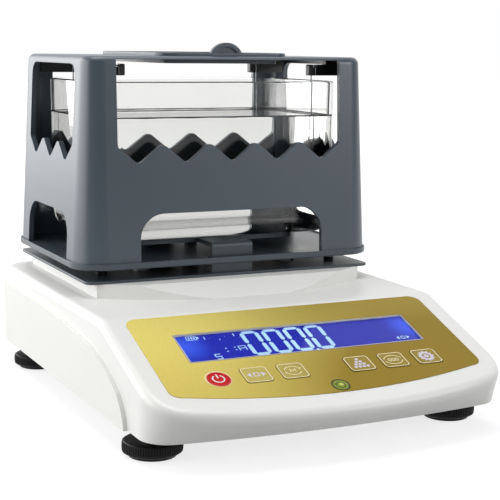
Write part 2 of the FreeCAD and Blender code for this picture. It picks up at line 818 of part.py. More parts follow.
def open_slope(body):
    """Sink the film's recess into the slope and open it for display, keys and vial."""
    recess = slope_sketch(body, "film_recess", "0")
    panel_outline(recess, "close_fit")
    pocket(body, recess, "film_recess")
    display = slope_sketch(body, "display_hole", "0")
    lens_outline(display, "close_fit")
    pocket(body, display, "housing_wall + overrun")
    keys = slope_sketch(body, "key_holes", "0")
    key_row_outline(keys, "clearance", "power_ring_diameter / 2 + close_fit")
    pocket(body, keys, "housing_wall + overrun")
    vial = slope_sketch(body, "vial_hole", "0")
    circle(vial, "0", "0 - vial_row", "vial_diameter / 2 + close_fit")
    pocket(body, vial, "vial_depth")


def make_control_panel():
    """Gold film in the recess of the slope, open for display, keys and vial."""
    body = new_body("control_panel")
    film = new_sketch(body, "film", "XY_Plane", "0 - film_recess")
    panel_outline(film, "0")
    lens_outline(film, "close_fit")
    key_row_outline(film, "clearance", "power_ring_diameter / 2 + close_fit")
    circle(film, "0", "0 - vial_row", "vial_diameter / 2 + close_fit")
    pad(body, film, "film_thickness")
    place_on_slope(body)


def make_lcd_window():
    """Clear lens, flush with the film."""
    body = new_body("lcd_window")
    lens = new_sketch(body, "lens", "XY_Plane", f"{FILM_TOP} - lens_thickness")
    lens_outline(lens, "0")
    pad(body, lens, "lens_thickness")
    place_on_slope(body)


def make_lcd_module():
    """Display under the lens: its glass fills the opening, its frame lies behind it."""
    body = new_body("lcd_module")
    frame = new_sketch(body, "display_frame", "XY_Plane", "0 - housing_wall - close_fit")
    round_box(frame, "(lens_width / 2 + display_border)", "(lens_height / 2 + display_border)", "lens_round",
              "0", "(0 - lens_height / 2)")
    pad(body, frame, "display_depth", down=True)
    glass = new_sketch(body, "display_glass", "XY_Plane", "0 - housing_wall - close_fit")
    lens_outline(glass, "(0 - clearance)")
    pad(body, glass, f"housing_wall + {FILM_TOP} - lens_thickness")
    place_on_slope(body)


def make_level_vial():
    """Round bubble level in its blind hole above the nose."""
    body = new_body("level_vial")
    vial = new_sketch(body, "vial", "XY_Plane", "0 - vial_depth")
    circle(vial, "0", "0", "vial_diameter / 2")
    pad(body, vial, f"vial_depth + {FILM_TOP}")
    soften(body, "lens_round / 2", lambda edge: at_height(edge, FILM_TOP))
    shift = "sin(slope_angle * 1deg)", "cos(slope_angle * 1deg)"
    place(body, y_at=f"0 - panel_line_y - vial_row * {shift[1]}", z_at=f"panel_line_level - vial_row * {shift[0]}",
          turn="slope_angle", axis=(1, 0, 0))


def seat_in_row(body, x_at):
    """Put a key's own origin on the slope at its place in the row."""
    place(body, x_at=x_at, y_at="0 - panel_line_y - key_row * cos(slope_angle * 1deg)",
          z_at="panel_line_level - key_row * sin(slope_angle * 1deg)", turn="slope_angle", axis=(1, 0, 0))


def make_square_key(name, x_at):
    """Square key cap with the flange that keeps it under the cover."""
    body = new_body(name)
    flange = new_sketch(body, f"{name}_flange", "XY_Plane", f"0 - {KEY_FOOT}")
    round_box(flange, "(key_width / 2 + key_flange)", "(key_height / 2 + key_flange)", "key_round")
    pad(body, flange, "key_flange")
    cap = new_sketch(body, f"{name}_cap", "XY_Plane", f"0 - {KEY_FOOT}")
    round_box(cap, "(key_width / 2)", "(key_height / 2)", "key_round")
    pad(body, cap, f"{KEY_FOOT} + {FILM_TOP} + key_rise")
    seat_in_row(body, x_at)


def make_power_key():
    """Round red key inside its ring."""
    body = new_body("power_key")
    profile = new_sketch(body, "power_profile", "XZ_Plane", "0")
    top = f"({FILM_TOP} + key_rise)"
    draw(profile, [
        ("0", f"0 - {KEY_FOOT}"),
        ("power_diameter / 2 + key_flange", f"0 - {KEY_FOOT}"),
        ("power_diameter / 2 + key_flange", f"key_flange - {KEY_FOOT}"),
        ("power_diameter / 2", f"key_flange - {KEY_FOOT}"),
        ("power_diameter / 2", f"{top} - key_rise"),
        ("power_diameter / 2 - key_rise", top),
        ("0", top),
    ], arcs={4: "key_rise"})
    revolve(body, profile)
    seat_in_row(body, "0 - power_x")


def make_power_ring():
    """Trim ring around the power key, pressed into the slope."""
    body = new_body("power_ring")
    profile = new_sketch(body, "ring_profile", "XZ_Plane", "0")
    inner = "(power_diameter / 2 + running_fit)"
    outer = "(power_ring_diameter / 2)"
    top = f"({FILM_TOP} + key_rise)"
    draw(profile, [
        (inner, "0 - housing_wall"),
        (outer, "0 - housing_wall"),
        (outer, f"{top} - key_rise"),
        (f"{outer} - key_rise", top),
        (inner, top),
    ], arcs={2: "key_rise"})
    revolve(body, profile)
    seat_in_row(body, "0 - power_x")


def make_key_board():
    """Board under the key row with a switch below each key."""
    body = new_body("key_board")
    level = f"(0 - {KEY_FOOT} - key_travel - running_fit - switch_height)"
    board = new_sketch(body, "key_board_plan", "XY_Plane", level)
    box(board, "0 - key_board_width / 2", "key_board_width / 2",
        "0 - key_row - key_board_height / 2", "key_board_height / 2 - key_row")
    pad(body, board, "board_thickness", down=True)
    switches = new_sketch(body, "switches", "XY_Plane", level)
    for x_at in list(key_places().values()) + ["0 - power_x"]:
        box(switches, f"{x_at} - switch_size / 2", f"{x_at} + switch_size / 2",
            "0 - key_row - switch_size / 2", "switch_size / 2 - key_row")
    pad(body, switches, "switch_height")
    place_on_slope(body)


def make_main_board():
    """Main board on the standoffs of the base."""
    body = new_body("main_board")
    board = new_sketch(body, "main_board_plan", "XY_Plane", "0")
    round_box(board, "(main_board_width / 2)", "(main_board_depth / 2)", "key_round")
    pad(body, board, "board_thickness")
    chip = new_sketch(body, "main_chip", "XY_Plane", "board_thickness")
    box(chip, "0 - switch_size", "switch_size", "0 - switch_size", "switch_size")
    pad(body, chip, "board_thickness")
    place(body, y_at="0 - main_board_y", z_at=f"{FLOOR_TOP} + standoff_height")


def cell_screw_places(side):
    """Give the two screw places at one end of the load cell."""
    middle = f"{side} * (cell_length / 2 - cell_grip / 2)"
    return [(f"{middle} - cell_screw_pitch / 2", "0"), (f"{middle} + cell_screw_pitch / 2", "0")]


def make_load_cell():
    """Bending beam with the double bore that lets it flex."""
    body = new_body("load_cell")
    side = new_sketch(body, "beam", "XZ_Plane", "0")
    box(side, "0 - cell_length / 2", "cell_length / 2", "0", "cell_side")
    pad(body, side, "cell_side", middle=True)
    bores = new_sketch(body, "flex_bores", "XZ_Plane", "0")
    for x_at in ("0 - cell_bore_gap", "cell_bore_gap"):
        circle(bores, x_at, "cell_side / 2", "cell_bore / 2")
    pocket(body, bores, "cell_side + 2 * overrun", middle=True)
    web = new_sketch(body, "flex_slot", "XZ_Plane", "0")
    box(web, "0 - cell_bore_gap", "cell_bore_gap", "cell_side / 2 - cell_bore / 4", "cell_side / 2 + cell_bore / 4")
    pocket(body, web, "cell_side + 2 * overrun", middle=True)
    places = cell_screw_places("(0 - 1)") + cell_screw_places("1")
    pocket(body, circles(body, "beam_holes", "XY_Plane", "cell_side", places, "cell_hole / 2"),
           "cell_side + overrun")
    place(body, y_at="scale_middle", z_at="cell_level")


def make_load_cell_mount():
    """Block that holds the fixed end of the load cell above the floor."""
    body = new_body("load_cell_mount")
    plan = new_sketch(body, "mount_plan", "XY_Plane", FLOOR_TOP)
    round_box(plan, "(cell_grip / 2)", "(cell_side)", "key_round")
    pad(body, plan, f"cell_level - {FLOOR_TOP}")
    holes = circles(body, "mount_holes", "XY_Plane", "cell_level",
                    [("0 - cell_screw_pitch / 2", "0"), ("cell_screw_pitch / 2", "0")],
                    "cell_screw / 2 + close_fit")
    pocket(body, holes, f"cell_level - {FLOOR_TOP} - overrun")
    place(body, x_at="cell_grip / 2 - cell_length / 2", y_at="scale_middle")


def screw_group(name, places, size, head, head_height, length, head_up=True):
    """Make equal screws as one sub-part: heads and shanks from two sketches.

    The group's own origin lies on the plane under the heads.
    """
    body = new_body(name)
    heads = circles(body, f"{name}_heads", "XY_Plane", "0", places, f"{head} / 2")
    pad(body, heads, head_height, down=not head_up)
    shanks = circles(body, f"{name}_shanks", "XY_Plane", "0", places, f"{size} / 2")
    pad(body, shanks, length, down=head_up)
    return body


def make_cell_screws():
    """Screws through the fixed end of the load cell into its block."""
    body = screw_group("load_cell_screws", cell_screw_places("(0 - 1)"), "cell_screw", "cell_screw_head",
                       "cell_screw", f"(cell_side + cell_level - {FLOOR_TOP} - 2 * overrun)")
    place(body, y_at="scale_middle", z_at="cell_level + cell_side")


def post_places():
    """Give the five posts that carry the tray: four corners and the middle."""
    rear = "scale_middle + post_y"
    front = "scale_middle - post_y"
    return [("0 - post_x", front), ("post_x", front), ("0 - post_x", rear), ("post_x", rear), ("0", "scale_middle")]


def make_load_bridge():
    """Spider on the free end of the load cell; its five posts carry the tray."""
    body = new_body("load_bridge")
    pads = new_sketch(body, "bridge_pad", "XY_Plane", "cell_level + cell_side + cell_gap")
    box(pads, "cell_length / 2 - cell_grip", "cell_length / 2",
        "scale_middle - cell_side / 2", "scale_middle + cell_side / 2")
    pad(body, pads, "bridge_level - cell_level - cell_side - cell_gap")
    plate = new_sketch(body, "bridge_plate", "XY_Plane", "bridge_level")
    box(plate, "0 - post_x - bridge_arm / 2", "post_x + bridge_arm / 2",
        "scale_middle - bridge_arm / 2", "scale_middle + bridge_arm / 2")
    pad(body, plate, "bridge_thickness")
    arms = new_sketch(body, "bridge_arms", "XY_Plane", "bridge_level")
    for x_at in ("(0 - post_x)", "post_x"):
        round_box(arms, "(bridge_arm / 2)", "(post_y + bridge_arm / 2)", "(bridge_arm / 4)", x_at, "scale_middle")
    pad(body, arms, "bridge_thickness")
    posts = circles(body, "posts", "XY_Plane", "bridge_level", post_places(), "post_diameter / 2")
    pad(body, posts, "tray_level - bridge_level")
    thread = circles(body, "post_thread", "XY_Plane", "tray_level", [("0", "scale_middle")],
                     "tray_screw / 2 + close_fit")
    pocket(body, thread, "tray_screw_length")
    holes = [(x, "scale_middle") for x, _ in cell_screw_places("1")]
    pocket(body, circles(body, "bridge_holes", "XY_Plane", "bridge_level + bridge_thickness", holes,
                         "cell_screw / 2 + close_fit"),
           "bridge_thickness + bridge_level - cell_level - cell_side")


def make_bridge_screws():
    """Screws that hold the spider on the free end of the load cell."""
    body = screw_group("bridge_screws", cell_screw_places("1"), "cell_screw", "cell_screw_head", "cell_screw",
                       "(bridge_thickness + bridge_level - cell_level - cell_side / 2)")
    place(body, y_at="scale_middle", z_at="bridge_level + bridge_thickness")


def make_dc_inlet():
    """Barrel socket in the rear wall with its nut, bore and pin."""
    body = new_body("dc_inlet")
    barrel = new_sketch(body, "inlet_barrel", "XZ_Plane", "0")
    circle(barrel, "0", "0", "inlet_barrel / 2")
    pad(body, barrel, "inlet_length")
    nut = new_sketch(body, "inlet_nut", "XZ_Plane", "0")
    circle(nut, "0", "0", "inlet_nut / 2")
    pad(body, nut, "inlet_nut_height")
    bore = new_sketch(body, "inlet_bore", "XZ_Plane", "0")
    circle(bore, "0", "0", "inlet_bore / 2")
    pocket(body, bore, "inlet_length - inlet_nut_height", up=True)
    pin = new_sketch(body, "inlet_pin", "XZ_Plane", "inlet_nut_height / 2")
    circle(pin, "0", "0", "inlet_pin / 2")
    pad(body, pin, "inlet_length - inlet_nut_height")
    place(body, x_at="inlet_x", y_at="housing_rear - (inlet_recess - inlet_nut_height)", z_at="inlet_level")


def make_foot(corner, x_at, y_at):
    """Levelling foot: a stud on a soft sole, and the wheel that turns it."""
    stud = new_body(f"foot_stud_{corner}")
    profile = new_sketch(stud, f"stud_{corner}", "XZ_Plane", "0")
    tip = "(stud_diameter / 2 - foot_bevel / 4)"
    draw(profile, [
        ("0", "0"),
        ("sole_diameter / 2", "0"),
        ("sole_diameter / 2", "sole_thickness"),
        ("stud_diameter / 2", "sole_thickness"),
        ("stud_diameter / 2", "stud_top - foot_bevel / 4"),
        (tip, "stud_top"),
        ("0", "stud_top"),
    ])
    revolve(stud, profile)
    place(stud, x_at, y_at)
    wheel = new_body(f"foot_wheel_{corner}")
    section = new_sketch(wheel, f"wheel_{corner}", "XZ_Plane", "0")
    bore = "(stud_diameter / 2 + running_fit)"
    low = "(sole_thickness + clearance)"
    edge = "(foot_diameter / 2)"
    soft = "(foot_bevel / 2)"
    draw(section, [
        (bore, low),
        (f"{edge} - {soft}", low),
        (edge, f"{low} + {soft}"),
        (edge, "foot_height - foot_bevel"),
        (f"{edge} - foot_bevel", "foot_height"),
        (bore, "foot_height"),
    ])
    revolve(wheel, section)
    place(wheel, x_at, y_at)


def make_foot_inserts():
    """Threaded brass bushes in the bosses of the base."""
    body = new_body("foot_inserts")
    feet = foot_places().values()
    pad(body, circles(body, "inserts", "XY_Plane", "0", feet, "insert_diameter / 2"), "insert_length")
    pocket(body, circles(body, "insert_bores", "XY_Plane", "0", feet, "stud_diameter / 2 + running_fit"),
           "insert_length + overrun", up=True)
    place(body, z_at="housing_lift + close_fit")


def make_housing_screws():
    """Screws from below into the bosses of the cover."""
    body = screw_group("housing_screws", case_screw_places(), "case_screw", "case_screw_head",
                       "case_screw_head_height - running_fit", "case_screw_length", head_up=False)
    place(body, z_at="housing_lift + case_screw_head_height")


def plate_screw_places():
    """Give the four screws of the lower plate, about the middle of the scale."""
    return [(f"{x} * {PLATE_SCREW_X}", f"{y} * plate_screw_y") for x, y in FOUR_SIGNS]


def stand_screw_places():
    """Give the two screws through the feet of the stand."""
    reach = "(stand_reach - stand_foot / 2 - stand_thickness / 2)"
    return [("0", f"0 - {reach}"), ("0", reach)]


def make_tank_base_plate():
    """Thin square-cornered plate fixed on the pedestal."""
    body = new_body("tank_base_plate")
    plan = new_sketch(body, "plate_plan", "XY_Plane", "0")
    round_box(plan, f"({RACK_WIDTH} / 2 - plate_inset)", f"({RACK_DEPTH} / 2 + plate_apron)", "plate_corner")
    for x_at, y_at in post_places():
        circle(plan, x_at, f"{y_at} - scale_middle", "post_passage / 2")
    for x_at, y_at in plate_screw_places() + stand_screw_places():
        circle(plan, x_at, y_at, "plate_screw / 2 + close_fit")
    pad(body, plan, "plate_thickness")
    soften(body, "plate_thickness / 4", lambda edge: at_height(edge, "plate_thickness")
           and max(abs(edge.BoundBox.XMax), abs(edge.BoundBox.XMin)) > number(f"{PLATE_SCREW_X} + plate_screw_head"))
    place(body, y_at="scale_middle", z_at=PEDESTAL_TOP)


def make_plate_screws():
    """Screws of the lower plate and of the stand's feet."""
    body = screw_group("plate_screws", plate_screw_places(), "plate_screw", "plate_screw_head",
                       "plate_screw_head_height", "plate_screw_length")
    place(body, y_at="scale_middle", z_at=PLATE_TOP)
    body = screw_group("stand_screws", stand_screw_places(), "plate_screw", "plate_screw_head",
                       "plate_screw_head_height", "plate_screw_length")
    place(body, y_at="scale_middle", z_at=f"{PLATE_TOP} + stand_thickness")


def drill_pedestal(body):
    """Open the pedestal for the screws of the plate and the stand."""
    places = [(x, f"scale_middle + {y}") for x, y in plate_screw_places() + stand_screw_places()]
    pocket(body, circles(body, "pedestal_bores", "XY_Plane", PEDESTAL_TOP, places, "plate_screw / 2 + close_fit"),
           "housing_wall + overrun")


def make_weighing_tray():
    """Upper plate with a low rim around the rack, slotted for the stand's legs."""
    body = new_body("weighing_tray")
    plan = new_sketch(body, "tray_plan", "XY_Plane", "0")
    round_box(plan, f"({RACK_WIDTH} / 2 + tray_margin)", f"({RACK_DEPTH} / 2 + tray_margin)", "tray_corner")
    pad(body, plan, "tray_thickness + tray_rim_height")
    soften(body, "tray_edge_round", lambda edge: at_height(edge, "0"))
    seat = new_sketch(body, "rack_seat", "XY_Plane", "tray_thickness + tray_rim_height")
    round_box(seat, f"({RACK_WIDTH} / 2 + clearance)", f"({RACK_DEPTH} / 2 + clearance)",
              "(rack_corner + clearance)")
    pocket(body, seat, "tray_rim_height")
    slots = new_sketch(body, "leg_slots", "XY_Plane", "tray_thickness")
    half = "(stand_leg_width / 2 + slot_margin)"
    for side in ("(0 - 1)", "1"):
        middle = f"{side} * (stand_reach - stand_thickness / 2)"
        round_box(slots, half, "(stand_thickness / 2 + slot_margin)", "slot_margin", "0", f"({middle})")
    circle(slots, "0", "0", "tray_screw / 2 + close_fit")
    pocket(body, slots, "tray_thickness + overrun")
    place(body, y_at="scale_middle", z_at="tray_level")


def make_tray_screw():
    """Black knob that holds the tray on the middle post."""
    body = screw_group("tray_screw", [("0", "0")], "tray_screw", "tray_screw_head", "tray_screw_head_height",
                       "tray_thickness + tray_screw_length - overrun")
    place(body, y_at="scale_middle", z_at=TRAY_TOP)


def make_tank_stand():
    """Bent table under the tank: its legs pass the tray and stand on the plate below."""
    body = new_body("tank_stand")
    side = new_sketch(body, "stand_side", "YZ_Plane", "0")
    top = f"({STAND_TOP} - {PLATE_TOP})"
    thick = "stand_thickness"
    reach = "stand_reach"
    draw(side, [
        (f"0 - {reach}", "0"),
        (f"stand_foot - {reach}", "0"),
        (f"stand_foot - {reach}", thick),
        (f"{thick} - {reach}", thick),
        (f"{thick} - {reach}", f"{top} - {thick}"),
        (f"{reach} - {thick}", f"{top} - {thick}"),
        (f"{reach} - {thick}", thick),
        (f"{reach} - stand_foot", thick),
        (f"{reach} - stand_foot", "0"),
        (reach, "0"),
        (reach, top),
        (f"0 - {reach}", top),
    ])
    pad(body, side, "stand_leg_width", middle=True)
    table = new_sketch(body, "stand_table", "XY_Plane", f"{top} - {thick}")
    round_box(table, "(stand_width / 2)", "(stand_depth / 2)", "plate_corner")
    pad(body, table, thick)
    holes = circles(body, "stand_holes", "XY_Plane", thick, stand_screw_places(), "plate_screw / 2 + close_fit")
    pocket(body, holes, f"{thick} + overrun")
    soften(body, thick, lambda edge: along(edge, (1, 0, 0)) and at_height(edge, top)
           and near(abs(edge.BoundBox.YMin), reach))
    place(body, y_at="scale_middle", z_at=PLATE_TOP)


def tank_mouth(body, name, inset):
    """Draw the tank's plan at its rim, drawn in by an inset."""
    sketch = new_sketch(body, name, "XY_Plane", "tank_height")
    round_box(sketch, f"(tank_width / 2 - {inset})", f"(tank_depth / 2 - {inset})", f"(tank_corner - {inset})")
    return sketch


def make_tank():
    """Clear water tank with drafted walls, round corners and a soft foot."""
    body = new_body("tank")
    pad(body, tank_mouth(body, "tank_rim", "0"), "tank_height", down=True, taper="0 - tank_draft")
    soften(body, "tank_foot_round", lambda edge: at_height(edge, "0"))
    pocket(body, tank_mouth(body, "tank_room", "tank_wall"), "tank_height - tank_wall", taper="0 - tank_draft")
    soften(body, "tank_foot_round - tank_wall", lambda edge: at_height(edge, "tank_wall"))
    soften(body, "tank_lip_round", lambda edge: at_height(edge, "tank_height"))
    place(body, y_at="scale_middle", z_at=STAND_TOP)


def rack_foot(body, name, inset):
    """Draw the rack's plan at its foot, drawn in by an inset."""
    sketch = new_sketch(body, name, "XY_Plane", "0")
    round_box(sketch, f"({RACK_WIDTH} / 2 - {inset})", f"({RACK_DEPTH} / 2 - {inset})",
              f"(rack_corner - {inset})")
    return sketch


def zigzag_window(sketch, half, teeth, top):
    """Draw a window whose sill is a zigzag: valleys between teeth, from edge to edge."""
    pitch = "tooth_pitch"
    sill = []
    for step in range(2 * teeth + 1):
        across = f"({step - teeth}) * {pitch} / 2"
        height = "valley_height" if step % 2 == 0 else "peak_height"
        sill.append((across, height))
    run = f"({half} - {teeth} * {pitch} / 2)"
    steep = f"(peak_height - valley_height) / ({pitch} / 2)"
    edge_height = f"valley_height + {run} * {steep}"
    outline = [(f"0 - {half}", edge_height)] + sill + [
        (half, edge_height),
        (half, top),
        (f"0 - {half}", top),
    ]
    draw(sketch, outline)


def make_rack():
    """One-piece rack: drafted walls, four zigzag windows, four arches and the deck."""
    body = new_body("rack")
    pad(body, rack_foot(body, "rack_outside", "0"), "rack_height", taper="0 - rack_draft")
    soften(body, "rack_top_round", lambda edge: at_height(edge, "rack_height"))
    pocket(body, rack_foot(body, "rack_inside", "rack_wall"), DECK_UNDERSIDE, up=True, taper="0 - rack_draft")
    openings = (
        ("XZ_Plane", (0, 1, 0), "window_half", WINDOW_TEETH, DECK_UNDERSIDE, "arch_half", "arch_height",
         RACK_DEPTH),
        ("YZ_Plane", (1, 0, 0), "side_window_half", SIDE_WINDOW_TEETH, "side_window_top", "side_arch_half",
         "side_arch_height", RACK_WIDTH),
    )
    for plane, through, half, teeth, top, arch, arch_top, depth in openings:
        window = new_sketch(body, f"window_{plane}", plane, "0")
        zigzag_window(window, half, teeth, top)
        pocket(body, window, f"{depth} + 2 * overrun", middle=True)
        door = new_sketch(body, f"arch_{plane}", plane, "0")
        draw(door, [
            (f"0 - {arch}", "0 - overrun"),
            (arch, "0 - overrun"),
            (arch, f"{arch_top} - arch_round"),
            (f"{arch} - arch_round", arch_top),
            (f"arch_round - {arch}", arch_top),
            (f"0 - {arch}", f"{arch_top} - arch_round"),
        ], arcs={2: "arch_round", 4: "arch_round"})
        pocket(body, door, f"{depth} + 2 * overrun", middle=True)
        soften(body, "tooth_round", lambda edge, way=through: along(edge, way)
               and number("valley_height - clearance") < edge.BoundBox.ZMin
               and edge.BoundBox.ZMin < number("peak_height + tooth_pitch / 4"))
    soften(body, "window_round", lambda edge: along(edge, (1, 0, 0)) and at_height(edge, "side_window_top")
           and edge.Length < number("2 * rack_wall"))
    opening = new_sketch(body, "deck_opening", "XY_Plane", "rack_height")
    round_box(opening, "(deck_opening_width / 2)", "(deck_opening_depth / 2)", "deck_opening_corner")
    pocket(body, opening, "rack_deck + overrun")
    screws = new_sketch(body, "hook_holes", "XY_Plane", "rack_height")
    for x_at, y_at in hook_screw_places():
        circle(screws, x_at, y_at, "hook_screw_head / 2 + close_fit")
    pocket(body, screws, "hook_screw_head_height")
    shanks = new_sketch(body, "hook_shanks", "XY_Plane", "rack_height")
    for x_at, y_at in hook_screw_places():
        circle(shanks, x_at, y_at, "hook_screw / 2 + close_fit")
    pocket(body, shanks, "rack_deck + overrun")
    place(body, y_at="scale_middle", z_at=TRAY_TOP)


def hook_screw_places():
    """Give the four hook screws about the middle of the rack."""
    x_at = "(hook_root - hook_block / 2)"
    return [(f"{x} * {x_at}", f"{y} * hook_y") for x, y in FOUR_SIGNS]


def make_hook_arm(name, y_sign, turn):
    """Black arm under the deck with a notch for its wire and a raised tip."""
    body = new_body(name)
    side = new_sketch(body, f"{name}_side", "XZ_Plane", "0")
    arm_top = "(hook_arm_height - hook_drop)"
    notch_left = "(hook_notch_x - hook_notch_width / 2)"
    notch_right = "(hook_notch_x + hook_notch_width / 2)"
    shoulder = "(hook_root - hook_block)"
    draw(side, [
        ("hook_tip", "0 - hook_drop"),
        ("hook_root", "0 - hook_drop"),
        ("hook_root", "0"),
        (shoulder, "0"),
        (shoulder, arm_top),
        (notch_right, arm_top),
        (notch_right, f"{arm_top} - hook_notch_depth"),
        (notch_left, f"{arm_top} - hook_notch_depth"),
        (notch_left, arm_top),
        ("hook_tip", arm_top),
    ])
    pad(body, side, "hook_breadth", middle=True)
    bore = circles(body, f"{name}_bore", "XY_Plane", "0", [("hook_root - hook_block / 2", "0")],
                   "hook_screw / 2 + close_fit")
    pocket(body, bore, "hook_screw_length")
    soften(body, "hook_breadth / 5", lambda edge: near(edge.BoundBox.XMin, "hook_tip")
           and near(edge.BoundBox.XMax, "hook_tip") and along(edge, (0, 1, 0)))
    place(body, y_at=f"scale_middle + {y_sign} * hook_y", z_at=f"{TRAY_TOP} + {DECK_UNDERSIDE}", turn=turn)


def make_hooks():
    """Four equal arms; the left pair is the right one turned half round."""
    for name, y_sign, turn in (
            ("front_left", "(0 - 1)", "180"),
            ("front_right", "(0 - 1)", "0"),
            ("rear_left", "1", "180"),
            ("rear_right", "1", "0")):
        make_hook_arm(f"hook_arm_{name}", y_sign, turn)
    body = screw_group("hook_screws", hook_screw_places(), "hook_screw", "hook_screw_head",
                       "hook_screw_head_height - running_fit", "hook_screw_length")
    place(body, y_at="scale_middle", z_at=f"{DECK_TOP} - hook_screw_head_height")


def wire_path(x_at, y_at, inward):
    """Lead a wire up beside its arm, over the notch in two bends, and down again."""
    reach = number("hook_breadth / 2 + clearance + wire_diameter / 2") * inward
    notch = number(f"{TRAY_TOP} + {DECK_UNDERSIDE} - hook_drop + hook_arm_height - hook_notch_depth")
    crown = notch + number("clearance + wire_diameter / 2")
    bend = number("wire_bend")
    side = bend * inward
    corner = (1 - 0.5 ** 0.5) * bend
    foot = number("basket_level + basket_height")
    tail = crown - bend - number("wire_tail")

    def at(across, height):
        return Vector(x_at, y_at + across, height)

    return Part.Wire([
        Part.LineSegment(at(reach, foot), at(reach, crown - bend)).toShape(),
        Part.Arc(at(reach, crown - bend), at(reach - corner * inward, crown - corner),
                 at(reach - side, crown)).toShape(),
        Part.LineSegment(at(reach - side, crown), at(side - reach, crown)).toShape(),
        Part.Arc(at(side - reach, crown), at(corner * inward - reach, crown - corner),
                 at(-reach, crown - bend)).toShape(),
        Part.LineSegment(at(-reach, crown - bend), at(-reach, tail)).toShape(),
    ])


def make_basket_wires():
    """Four wires that hang in the notches of the arms and carry the basket."""
    wires = []
    for x_sign in (-1, 1):
        for y_sign in (-1, 1):
            path = wire_path(x_sign * number("hook_notch_x"),
                             number(f"scale_middle + {y_sign} * hook_y"), -y_sign)
            start = path.Vertexes[0].Point
            section = Part.Wire(Part.Circle(start, Vector(0, 0, 1), number("wire_diameter / 2")).toShape())
            wires.append(path.makePipeShell([section], True, False))
    piece = doc.addObject("Part::Feature", "basket_wires")
    piece.Label = "basket_wires"
    piece.Shape = Part.Compound(wires)
    piece.Placement = Placement()
    parts.append(piece)


def make_basket():
    """Shallow perforated basket that hangs in the water."""
    body = new_body("basket")
    plan = new_sketch(body, "basket_plan", "XY_Plane", "0")
    round_box(plan, "(basket_width / 2)", "(basket_depth / 2)", "basket_corner")
    pad(body, plan, "basket_height")
    room = new_sketch(body, "basket_room", "XY_Plane", "basket_height")
    round_box(room, "(basket_width / 2 - 3 * basket_wall)", "(basket_depth / 2 - 3 * basket_wall)",
              "(basket_corner - basket_wall)")
    pocket(body, room, "basket_height - basket_wall")
    holes = new_sketch(body, "basket_holes", "XY_Plane", "basket_wall")
    for column in range(HOLE_COLUMNS):
        for row in range(HOLE_ROWS):
            circle(holes, f"({column} - ({HOLE_COLUMNS} - 1) / 2) * basket_hole_pitch",
                   f"({row} - ({HOLE_ROWS} - 1) / 2) * basket_hole_pitch", "basket_hole / 2")
    pocket(body, holes, "basket_wall + overrun")
    place(body, y_at="scale_middle", z_at="basket_level")


def make_air_pan():
    """Pan with a lip on the deck, a sunk bowl and a half-round finger tab."""
    body = new_body("air_pan")
    lip = new_sketch(body, "pan_lip", "XY_Plane", "0")
    round_box(lip, "(deck_opening_width / 2 + pan_overlap)", PAN_FRONT, "pan_corner")
    pad(body, lip, "pan_lip")
    soften(body, "pan_round", lambda edge: at_height(edge, "pan_lip"))
    bowl = new_sketch(body, "pan_bowl", "XY_Plane", "0")
    round_box(bowl, "(deck_opening_width / 2 - 2 * clearance)", "(deck_opening_depth / 2 - 2 * clearance)",
              "(deck_opening_corner - clearance)")
    pad(body, bowl, "pan_bowl_depth", down=True)
    room = new_sketch(body, "pan_room", "XY_Plane", "pan_lip")
    round_box(room, "(deck_opening_width / 2 - 2 * clearance - pan_wall)",
              "(deck_opening_depth / 2 - 2 * clearance - pan_wall)", "(deck_opening_corner - pan_wall)")
    pocket(body, room, "pan_lip + pan_bowl_depth - pan_wall")
    tab = new_sketch(body, "finger_tab", "XZ_Plane", f"{PAN_FRONT} - tab_thickness - pan_round")
    centre = "(tab_top - tab_radius)"
    half = f"sqrt(tab_radius ^ 2 - {centre} ^ 2)"
    draw(tab, [
        (f"0 - {half}", "0"),
        (half, "0"),
        ("0", "tab_top"),
    ], arcs={1: "tab_radius", 2: "tab_radius"})
    pad(body, tab, "tab_thickness")
    recess = new_sketch(body, "tab_recess", "XZ_Plane", f"{PAN_FRONT} - pan_round")
    inner = "(tab_radius - tab_rim)"
    inner_half = f"sqrt({inner} ^ 2 - (pan_lip - {centre}) ^ 2)"
    draw(recess, [
        (f"0 - {inner_half}", "pan_lip"),
        (inner_half, "pan_lip"),
        ("0", f"{centre} + {inner}"),
    ], arcs={1: inner, 2: inner})
    pocket(body, recess, "tab_recess")
    place(body, y_at="scale_middle", z_at=DECK_TOP)


def make_all():
    """Make every sub-part, from the bench upward."""
    make_lower_housing()
    cover = make_upper_housing()
    drill_pedestal(cover)
    make_control_panel()
    make_lcd_window()
    make_lcd_module()
    make_level_vial()
    for name, x_at in key_places().items():
        make_square_key(name, x_at)
    make_power_key()
    make_power_ring()
    make_key_board()
    make_main_board()
    make_load_cell()
    make_load_cell_mount()
    make_cell_screws()
    make_load_bridge()
    make_bridge_screws()
    make_dc_inlet()
    for corner, (x_at, y_at) in foot_places().items():
        make_foot(corner, x_at, y_at)
    make_foot_inserts()
    make_housing_screws()
    make_tank_base_plate()
    make_plate_screws()
    make_weighing_tray()
    make_tray_screw()
    make_tank_stand()
    make_tank()
    make_rack()
    make_hooks()
    make_basket_wires()
    make_basket()
    make_air_pan()


def export_all():
    """Check every object and sub-part, then write the files."""
    doc.recompute()
    failed = [item.Name for item in doc.Objects if "Invalid" in item.State or "Error" in item.State]
    failed += [part.Label for part in parts if part.Shape.isNull() or not part.Shape.isValid()]
    if failed:
        raise ValueError(f"not made: {failed}")
    os.makedirs("parts", exist_ok=True)
    for part in parts:
        part.Shape.exportStep(f"parts/{part.Label}.step")
        limits = part.Shape.BoundBox
        print(f"{part.Label}: {len(part.Shape.Solids)} solid(s), {part.Shape.Volume:.0f} mm3, "
              f"z {limits.ZMin:.2f} to {limits.ZMax:.2f}")


fill_sheet()
make_all()
export_all()
